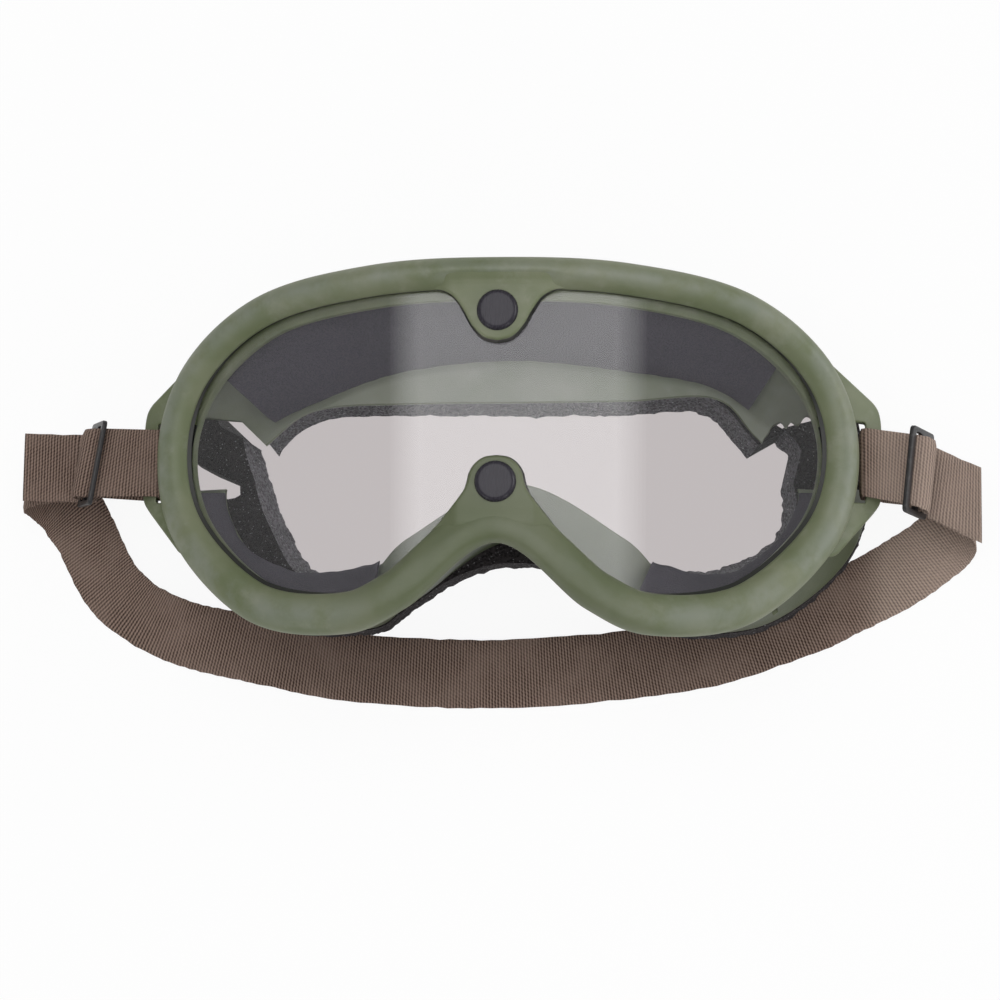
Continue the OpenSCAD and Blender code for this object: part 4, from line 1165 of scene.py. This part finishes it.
def foam_strip(name, s, swung, node):
    """Section: from the outer corner across to the free edge underneath, and back along the flange."""
    c = loop_at(corner, s)
    out = loop_at(loop_normal(corner), s)
    at_nose = np.where(c[:, 1] > 0, 0, NOSE_FOAM * (1 - ramp(np.abs(c[:, 0] - LEAN) / ARCH_X)))
    a = c + (FOAM_OVER + at_nose)[:, None] * out
    b = loop_at(foam_edge, s)
    right = s % stations < stations / 2
    q = np.where(right, s % stations, stations - s % stations) / STEP_RATIO
    if swung:  # a gap between foam and wall, low in the left temple
        a = mix(a, b, (np.where(right, 0, 0.66) * ramp((21.9 - q) / 0.5) * ramp((q - 18.8) / 1.5))[:, None])
    slant = mix(CUT_SLANT, CUT_SLANT_NOSE, ramp((q - 34) / 6))
    b_top = b - slant[:, None] * unit(b - a)
    t = np.linspace(0, 1, ACROSS)[None, :, None]
    move = swing(s, t) if swung else 0
    plan = mix(a[:, None], b[:, None], t) + move
    plan_top = mix(a[:, None], b_top[:, None], t) + move
    floor_z = (WEB_T + 4 * FIT) * ramp((-8 - plan[..., 1]) / 6)  # room for the headband that passes under
    under = np.dstack([plan, np.maximum(floor_z, face_at(plan[..., 0]) - FOAM_T)])
    over = np.dstack([plan_top, np.maximum(floor_z, face_at(plan[..., 0]) - FIT)])
    up = np.array([0.25, 0.5, 0.75])[None, :, None]
    free_side, outer_side = (mix(under[:, k][:, None], over[:, k][:, None], up) for k in (-1, 0))
    rings = np.hstack([under, free_side, over[:, ::-1], outer_side[:, ::-1]])
    plan_push = unit(rings - rings.mean(1, keepdims=True)) * [1, 1, 0]
    ragged = 0.3 * rough(rings, 3.0, 5) + 0.18 * rough(rings, 1.1, 6)
    above_floor = np.clip((rings[..., 2] - floor_z.min()) / 1.5, 0, 1)
    below_flange = np.clip((face_at(rings[..., 0]) - 0.5 - rings[..., 2]) / 2, 0, 1)
    rings = rings + plan_push * (ragged * above_floor * below_flange)[..., None] - plan_push * 0.15
    strip = foam_piece(name, rings, node, 0.7, 60, face_foam_painted_shade, cut_foam_painted_lit)
    column = np.tile(np.arange(rings.shape[1]), len(rings) - 1)
    # The cut faces take the foam painted lit; the rest take the foam painted in shade.
    tone_faces(strip, [*((column >= ACROSS - 1) & (column < ACROSS + 3)), 0, 0])
    return strip


brow_run = np.arange(-15.5 * STEP_RATIO, 15.5 * STEP_RATIO + 1)
cheek_half = np.append(np.arange(17 * STEP_RATIO, SWING_END - NOTCH), SWING_END - NOTCH)
under_nose = np.arange(SWING_END, stations - SWING_END + 1)
cheek_run = np.concatenate([cheek_half, under_nose, stations - cheek_half[::-1]])
brow_foam = foam_strip("brow_foam_strip", brow_run, False, "brow_face_foam")
cheek_foam = foam_strip("cheek_foam_strip", cheek_run, True, "cheek_face_foam")
print("face foam", len(brow_foam.data.polygons), len(cheek_foam.data.polygons))

# %% [markdown]
# ## Headband
# One elastic strap: each end goes round a lug and back through a three-bar slide, and the long run lies in
# a curve on the table. It could be dropped as cloth, but the photo shows just where it lies. So each
# stretch is a flat section carried along its path, a little frayed at the edges.

# %% Strap ends
SLIDE_LEFT, SLIDE_RIGHT, TAIL_LEFT = 13.6, 9.6, 20.0  # from lug to slide, and from slide to free end
OUT_LEFT, OUT_RIGHT, BAND_Y = 35.8, 25.8, 51.6  # from lug to fold, and from the nose snap to the band's edge
BAR_W, SLIDE_T, RAIL_W, SIDE_ROOM = 2.2, 1.2, 1.5, 0.7
TILT = math.radians(65)  # lean of a slide
SKEW_LEFT, SKEW_RIGHT = math.radians(8), math.radians(7)  # how far the slides sit askew
DROOP_LEFT, DROOP_RIGHT, BEND_RIGHT = math.radians(-1), math.radians(13), 0.25  # slope of the free ends
LUG_MID = float(bow_z(LUG_X - LUG_BAR / 2, LUG_TOP - LUG_T / 2))
INNER_TURN = BAR_W / 2 + WEB_T / 2 + 0.3
OUTER_TURN = INNER_TURN + WEB_T + 0.2
BAR_PITCH = INNER_TURN + OUTER_TURN + 2 * FIT
SLIDE_H = 0.7
MAIN_H = SLIDE_H - BAR_PITCH * math.sin(TILT) - (BAR_PITCH - INNER_TURN)
TAIL_H = SLIDE_H - BAR_PITCH * math.sin(TILT) - (BAR_PITCH - OUTER_TURN)
CUT_S = 6.0
TAIL_LIFT = (0.35, 0.05), (0.5, 0.1), (0.65, 0.25), (0.8, 0.4), (1, 0.9)  # share of the free end, and height
PULL_FROM, PULL_TO = -0.5, -4.0  # two places on an end, from the lug and from the slide, handed on to woven
LEAN_FROM, LEAN_TO = 4.5, -WEB_T  # two heights for the long run, from the table and from its top, handed on likewise


def arc(c, r, a, b, n):
    """Points of a circle about c from angle a to angle b, in degrees."""
    t = np.radians(np.linspace(a, b, n + 1))
    return np.column_stack([c[0] + r * np.cos(t), c[1] + r * np.sin(t)])


def threaded(s0, r, start):
    """Over the middle bar of the slide at radius r, then under its outer bar."""
    tilt = math.degrees(TILT)
    outer = [s0 + BAR_PITCH * math.cos(TILT), SLIDE_H - BAR_PITCH * math.sin(TILT)]
    over, under = arc([s0, SLIDE_H], r, start, -tilt, 20), arc(outer, BAR_PITCH - r, 200 - tilt, 270, 12)
    return np.vstack([over, under])


def round_lug():
    """Round the bar of the lug, from its outer rear corner to its front."""
    g = WEB_T / 2 + FIT
    low = [float(bow_z(LUG_X + s, LUG_TOP - LUG_T)) - LUG_MID for s in (0, -LUG_BAR)]
    top = [float(bow_z(LUG_X + s, LUG_TOP)) - LUG_MID for s in (0, -LUG_BAR)]
    knots = [[0.6, low[0] - g - 0.4], [-0.6 * g, low[0] - 0.85 * g], [-LUG_BAR - 0.6 * g, low[1] - 0.85 * g],
             [-LUG_BAR - g, low[1] + 0.2], [-LUG_BAR - g, top[1] - 0.2],
             [-LUG_BAR - 0.7 * g, top[1] + 0.75 * g], [-LUG_BAR + 0.2, top[1] + g]]
    return spline(knots, 4)


def end_path(s0, s1, s_end):
    """Whole run of a strap end, as (distance out from the lug, height)."""
    tail = [[mix(s1, s_end, share), TAIL_H + lift] for share, lift in TAIL_LIFT]
    return np.vstack([[[s1 + CUT_S, MAIN_H], [s1 + CUT_S / 2, MAIN_H]], threaded(s0, INNER_TURN, 122)[::-1],
                      round_lug(), threaded(s0, OUTER_TURN, 105), tail])


def end_pt(p, v, droop, bend):
    """Place of a path point at v across the webbing, which slopes past the lug by droop."""
    s, h = p[..., 0], p[..., 1]
    slope = np.where(s > 0, droop, 0.0)
    turn = droop * ramp(s / 5)
    drop = bend * np.maximum(0, s - SLIDE_RIGHT - BAR_W)
    return np.stack([LUG_X + s * np.cos(slope) + v * np.sin(turn),
                     WEB_Y - s * np.sin(slope) - drop + v * np.cos(turn), LUG_MID + h], -1)


def web_section(width, thick, columns=17):
    """Section of webbing: across and up, flat with rounded edges."""
    x = np.linspace(-1, 1, columns)
    half_t = thick / 2 * (1 - np.abs(x) ** 14 * 0.75)
    across = np.concatenate([x, x[::-1]]) * width / 2
    up = np.concatenate([half_t, -half_t[::-1]])
    return across, up


def frayed(across, path_len, seed):
    """Edges of the webbing waver by a tenth of a millimetre or two."""
    wave = 0.12 * rough(on_x_axis(path_len), 2.2, seed) + 0.1 * rough(on_x_axis(path_len), 9, seed + 1)
    edge_only = np.sign(across)[None, :] * np.abs(across / across.max())[None, :] ** 4
    return wave[:, None] * edge_only


def woven(name, rings, length, across, node, slide, start, end):
    """Webbing skin. Its coordinates are the distance along it and across it. slide is not used; start and
    end, in millimetres about the middle of the whole, are turned to metres but then not used."""
    uv = np.stack(np.broadcast_arrays(length[:, None], across[None, :]), -1)
    piece = dress(tube(name, rings, uv=uv, sharp=60), webbing)
    start, end = (tuple(float(c) * MM for c in place) for place in (start, end))
    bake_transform(piece)
    stand_in(piece, node)
    float(length[-1] - length[0]) * MM
    return piece


def band_half(hand, points, normals, sideways, start_length):
    """Webbing along points, with its width along sideways and its thickness along normals."""
    across, up = web_section(WEB_W, WEB_T)
    length = arc_lengths(points) + start_length
    spread = across[None, :] + frayed(across, length, 41)
    rings = points[:, None] + spread[..., None] * sideways[:, None] + up[None, :, None] * normals[:, None]
    lean = (0, 0, LEAN_FROM), (0, 0, MAIN_Z + LEAN_TO)
    return woven(f"headband_{hand}_run", rings, length, across, "headband", hand + "_slide", *lean)


def strap_end(hand, side, s0, skew, droop, tail, bend, seed):
    """One strap end. The slide sits askew, so the two edges of the webbing turn at different distances."""
    shift = WEB_W / 2 * math.tan(skew)
    cut = WEB_W / 2 * math.tan(droop)
    low = end_path(s0 + shift, s0, s0 + tail + cut)
    high = end_path(s0 - shift, s0, s0 + tail - cut)
    across, up = web_section(WEB_W, WEB_T)
    share = (across / WEB_W + 0.5)[None, :, None]
    length = arc_lengths(mix(low, high, 0.5))
    spread = across[None, :] + frayed(across, length, seed)
    run = mix(low[:, None], high[:, None], share)
    heading = along(mix(low, high, 0.5))
    normal = unit(np.stack([-heading[:, 1], heading[:, 0]], -1))
    run = run + up[None, :, None] * normal[:, None]
    rings = end_pt(run, spread, droop, bend) * [side, 1, 1]
    pull = end_pt(np.array([[PULL_FROM, SLIDE_H], [s0 + PULL_TO, SLIDE_H]]), 0, droop, 0) * [side, 1, 1]
    node, slide = hand + "_strap_end", hand + "_slide"
    return woven(hand + "_strap", rings, length, across, node, slide, *(pull + SHIFT))


REACH_LEFT, REACH_RIGHT = LUG_X + OUT_LEFT, LUG_X + OUT_RIGHT
TAIL_RIGHT = OUT_RIGHT / math.cos(DROOP_RIGHT) - SLIDE_RIGHT
left_end = strap_end("left", -1, SLIDE_LEFT, SKEW_LEFT, DROOP_LEFT, TAIL_LEFT, 0, 21)
right_end = strap_end("right", 1, SLIDE_RIGHT, SKEW_RIGHT, DROOP_RIGHT, TAIL_RIGHT, BEND_RIGHT, 31)
print("strap ends", len(left_end.data.polygons), len(right_end.data.polygons))

# %% [markdown]
# ### The long run
# The band folds down from each slide to the table and lies there in an arc, tipped a little on its lower
# edge. A curve with a bevel could carry it, but would twist as it likes. Here each station gives the middle
# of the webbing, the turn of its width and its tip off the table. It is made in two halves, one for each
# slide.

# %% Long run of the headband
MAIN_Z = LUG_MID + MAIN_H
FLAT_Z = WEB_T / 2 + 0.1
FOLD_LEFT = REACH_LEFT - WEB_T / 2 - 1.6
FOLD_RIGHT = REACH_RIGHT - WEB_T / 2 - 2.9
LOW_Y = -BAND_Y + WEB_W / 2
left_cut = end_pt(np.array([SLIDE_LEFT + CUT_S, MAIN_H]), 0, DROOP_LEFT, 0)
right_cut = end_pt(np.array([SLIDE_RIGHT + CUT_S, MAIN_H]), 0, DROOP_RIGHT, BEND_RIGHT)
# Middle of the webbing, then the turn of its width from +Y to +X and its tip off the table, in degrees
band_stations = np.array([
    [-left_cut[0], left_cut[1], MAIN_Z, -math.degrees(DROOP_LEFT), 0],
    [-FOLD_LEFT + 7, left_cut[1], MAIN_Z, 3, 0],
    [-FOLD_LEFT + 2, WEB_Y - 0.6, MAIN_Z - 1.6, 5, 0],
    [-FOLD_LEFT, WEB_Y - 1.4, 0.55 * MAIN_Z, 10, 0],
    [-FOLD_LEFT + 2.6, WEB_Y - 3, 0.2 * MAIN_Z, 22, 6],
    [-FOLD_LEFT + 7.6, WEB_Y - 6.8, FLAT_Z, 40, 10],
    [-FOLD_LEFT + 13.4, LOW_Y + 38.4, FLAT_Z, 56, 12],
    [-FOLD_LEFT + 23.4, LOW_Y + 21.2, FLAT_Z, 49, 16],
    [-0.683 * REACH_LEFT, LOW_Y + 11, FLAT_Z, 23, 22],
    [-0.513 * REACH_LEFT, LOW_Y + 6, FLAT_Z, 13, 8],
    [-0.319 * REACH_LEFT, LOW_Y + 1.4, FLAT_Z, 5, 4],
    [0, LOW_Y, FLAT_Z, -1, 8],
    [0.384 * REACH_RIGHT, LOW_Y + 5, FLAT_Z, -14, 4],
    [0.62 * REACH_RIGHT, LOW_Y + 14.2, FLAT_Z, -22, 0],
    [0.71 * REACH_RIGHT, LOW_Y + 19.2, FLAT_Z, -27, 0],
    [0.81 * REACH_RIGHT, LOW_Y + 25.3, FLAT_Z, -34, 5],
    [FOLD_RIGHT - 8, LOW_Y + 33, FLAT_Z, -42, 15],
    [FOLD_RIGHT - 2.6, LOW_Y + 38.2, 0.2 * MAIN_Z, -32, 10],
    [FOLD_RIGHT, WEB_Y - 9.4, 0.55 * MAIN_Z, -14, 0],
    [FOLD_RIGHT - 1.8, WEB_Y - 7.2, MAIN_Z - 1.6, 3, 0],
    [right_cut[0], right_cut[1], MAIN_Z, math.degrees(DROOP_RIGHT), 0]])
HALF_STATION, BAND_STEPS = 11, 16


def headband():
    """The band's width leans by its turn and tip at each station; its thickness is square to both ways."""
    line = spline(band_stations, BAND_STEPS)
    turn, tip = np.radians(line[:, 3]), np.radians(line[:, 4])
    sideways = np.column_stack([np.sin(turn) * np.cos(tip), np.cos(turn) * np.cos(tip), np.sin(tip)])
    normal = unit(np.cross(along(line[:, :3]), sideways))
    middle = line[:, :3] + np.column_stack([0 * turn, 0 * turn, np.maximum(0, WEB_W / 2 * sideways[:, 2])])
    split = BAND_STEPS * HALF_STATION
    before = arc_lengths(middle)[split]
    left, right = slice(None, split + 1), slice(split, None)
    return [band_half("left", middle[left], normal[left], sideways[left], 0),
            band_half("right", middle[right], normal[right], sideways[right], before)]


band = headband()
print("headband", [len(run.data.polygons) for run in band], "faces")

# %% [markdown]
# ## Slides
# A slide is stamped from thin steel, so it is a plate with two windows and rounded edges. It could be cut
# from a block; a filled flat curve gives the same, as for the lugs. It leans, because the webbing goes over
# its middle bar and under its outer one.

# %% Three-bar slides
SLIDE_BEVEL, SLIDE_CORNER, WINDOW_CORNER = 0.3, 1.6, 0.7


def slide_plate(hand, side, s0, skew, droop):
    """Plate with two windows, leaned by the tilt, turned by skew and set at its place on the webbing."""
    inside = WEB_W / math.cos(skew) + 2 * SIDE_ROOM
    plate = box_plan(0, 0, 2 * BAR_PITCH + BAR_W, inside + 2 * RAIL_W)
    windows = [box_plan(x * BAR_PITCH / 2, 0, BAR_PITCH - BAR_W, inside) for x in (-1, 1)]
    outlines = [round_corners(plate, SLIDE_CORNER, 8)] + [round_corners(w, WINDOW_CORNER, 8) for w in windows]
    verts, faces = welded(*flat_plate("slide", outlines, SLIDE_T, SLIDE_BEVEL))
    lean = np.array(Matrix.Rotation(skew - droop, 3, "Z") @ Matrix.Rotation(TILT, 3, "Y"))
    middle = end_pt(np.array([s0, SLIDE_H]), 0, droop, 0)
    verts = (verts @ lean.T + middle) * [side, 1, 1]
    node = hand + "_slide"
    slide = dress(finish_mesh(node + "_plate", verts, faces, sharp=50), blackened)
    return stand_in(slide, node, node)


left_plate = slide_plate("left", -1, SLIDE_LEFT, SKEW_LEFT, DROOP_LEFT)
right_plate = slide_plate("right", 1, SLIDE_RIGHT, SKEW_RIGHT, DROOP_RIGHT)
print("slides", len(left_plate.data.polygons), len(right_plate.data.polygons))

# %% [markdown]
# ## The table
# The photo has a plain white ground with a soft shadow. A floor that is only lit comes out grey, and one
# that only glows has no shadow, so this one is a mix of both.

# %% Floor
TO_CAMERA, MIRRORED, THROUGH_LENS = 0.92, 0.5, 0.68  # how much of the floor is plain glow to each kind of ray


def white_floor():
    """Wide white plane. It glows white; through the lens it glows grey, as painted shade of the goggles over
    it. What the glow leaves is its real shading, so that the shadow stays."""
    verts = np.array([[-1, -1, 0], [1, -1, 0], [1, 1, 0], [-1, 1, 0]]) * 4000 - SHIFT
    floor = finish_mesh("table_top", verts, [[0, 1, 2, 3]])
    p = Paint("white table", Roughness=0.9, Specular_IOR_Level=0.1, Base_Color=(0.93, 0.93, 0.93, 1))
    glow = p.tree.nodes.new("ShaderNodeEmission")
    rays = p.tree.nodes.new("ShaderNodeLightPath")
    through = Value(p, rays.outputs["Is Transmission Ray"])
    # Painted shade: seen through the lens, the glow is grey for the shade under the goggles.
    p.tree.links.new(p.blend(through, (1, 1, 1), (0.56, 0.52, 0.52)).socket, glow.inputs["Color"])
    direct = Value(p, rays.outputs["Is Camera Ray"]) * TO_CAMERA
    share = direct + Value(p, rays.outputs["Is Glossy Ray"]) * MIRRORED + through * THROUGH_LENS
    dress(floor, p.or_else(glow, share.socket).mat)
    return floor


white_floor()

# %% [markdown]
# ## Lamps
# A broad soft box overhead, a low side light from the right, a small lamp at each front corner, and an even
# pale surround. The lens mirrors the soft box as an upright pale band. A picture of a studio could be
# mirrored; lamps need no file. The box is ten lamps, each wider than the one before, so that the band's
# edges are soft.

# %% Lamps and surround
NESTED, FIRST_WIDTH, WIDER, HIGHER = 10, 0.96, 0.05, 0.002  # boxes overhead, in metres


def soft_box(name, place, size, radiance, aim=(0, 0, 0.03)):
    """Area lamp that faces aim. Its power is its brightness times its area times pi."""
    data = bpy.data.lights.new(name, "AREA")
    data.shape = "RECTANGLE"
    data.size, data.size_y = size
    data.energy = radiance * size[0] * size[1] * math.pi
    lamp = bpy.data.objects.new(name, data)
    lamp.location = place
    lamp.rotation_euler = (Vector(aim) - Vector(place)).to_track_quat("-Z", "Y").to_euler()
    bpy.context.collection.objects.link(lamp)
    return lamp


for step in range(NESTED):
    soft_box("overhead", (-0.02, 0.25, 1.5 + HIGHER * step), (FIRST_WIDTH + WIDER * step, 1.5), 0.26)
soft_box("right_key", (1.6, 0.3, 0.5), (1.2, 0.5), 4.5)
for side in (-1, 1):
    soft_box("front_corner", (0.75 * side, -0.95, 0.45), (0.3, 0.3), 5.0)


def surround(level):
    """Even surround; the camera sees it as white."""
    world = bpy.context.scene.world or bpy.data.worlds.new("studio")
    bpy.context.scene.world = world
    world.use_nodes = True
    tree = world.node_tree
    ground = tree.nodes["Background"]
    ground.inputs["Color"].default_value = (1, 1, 1, 1)
    rays = tree.nodes.new("ShaderNodeLightPath")
    pick = tree.nodes.new("ShaderNodeMapRange")
    pick.inputs["To Min"].default_value = level
    pick.inputs["To Max"].default_value = 1.0
    tree.links.new(rays.outputs["Is Camera Ray"], pick.inputs["Value"])
    tree.links.new(pick.outputs["Result"], ground.inputs["Strength"])


surround(0.38)
bpy.context.scene.view_settings.view_transform = "Standard"
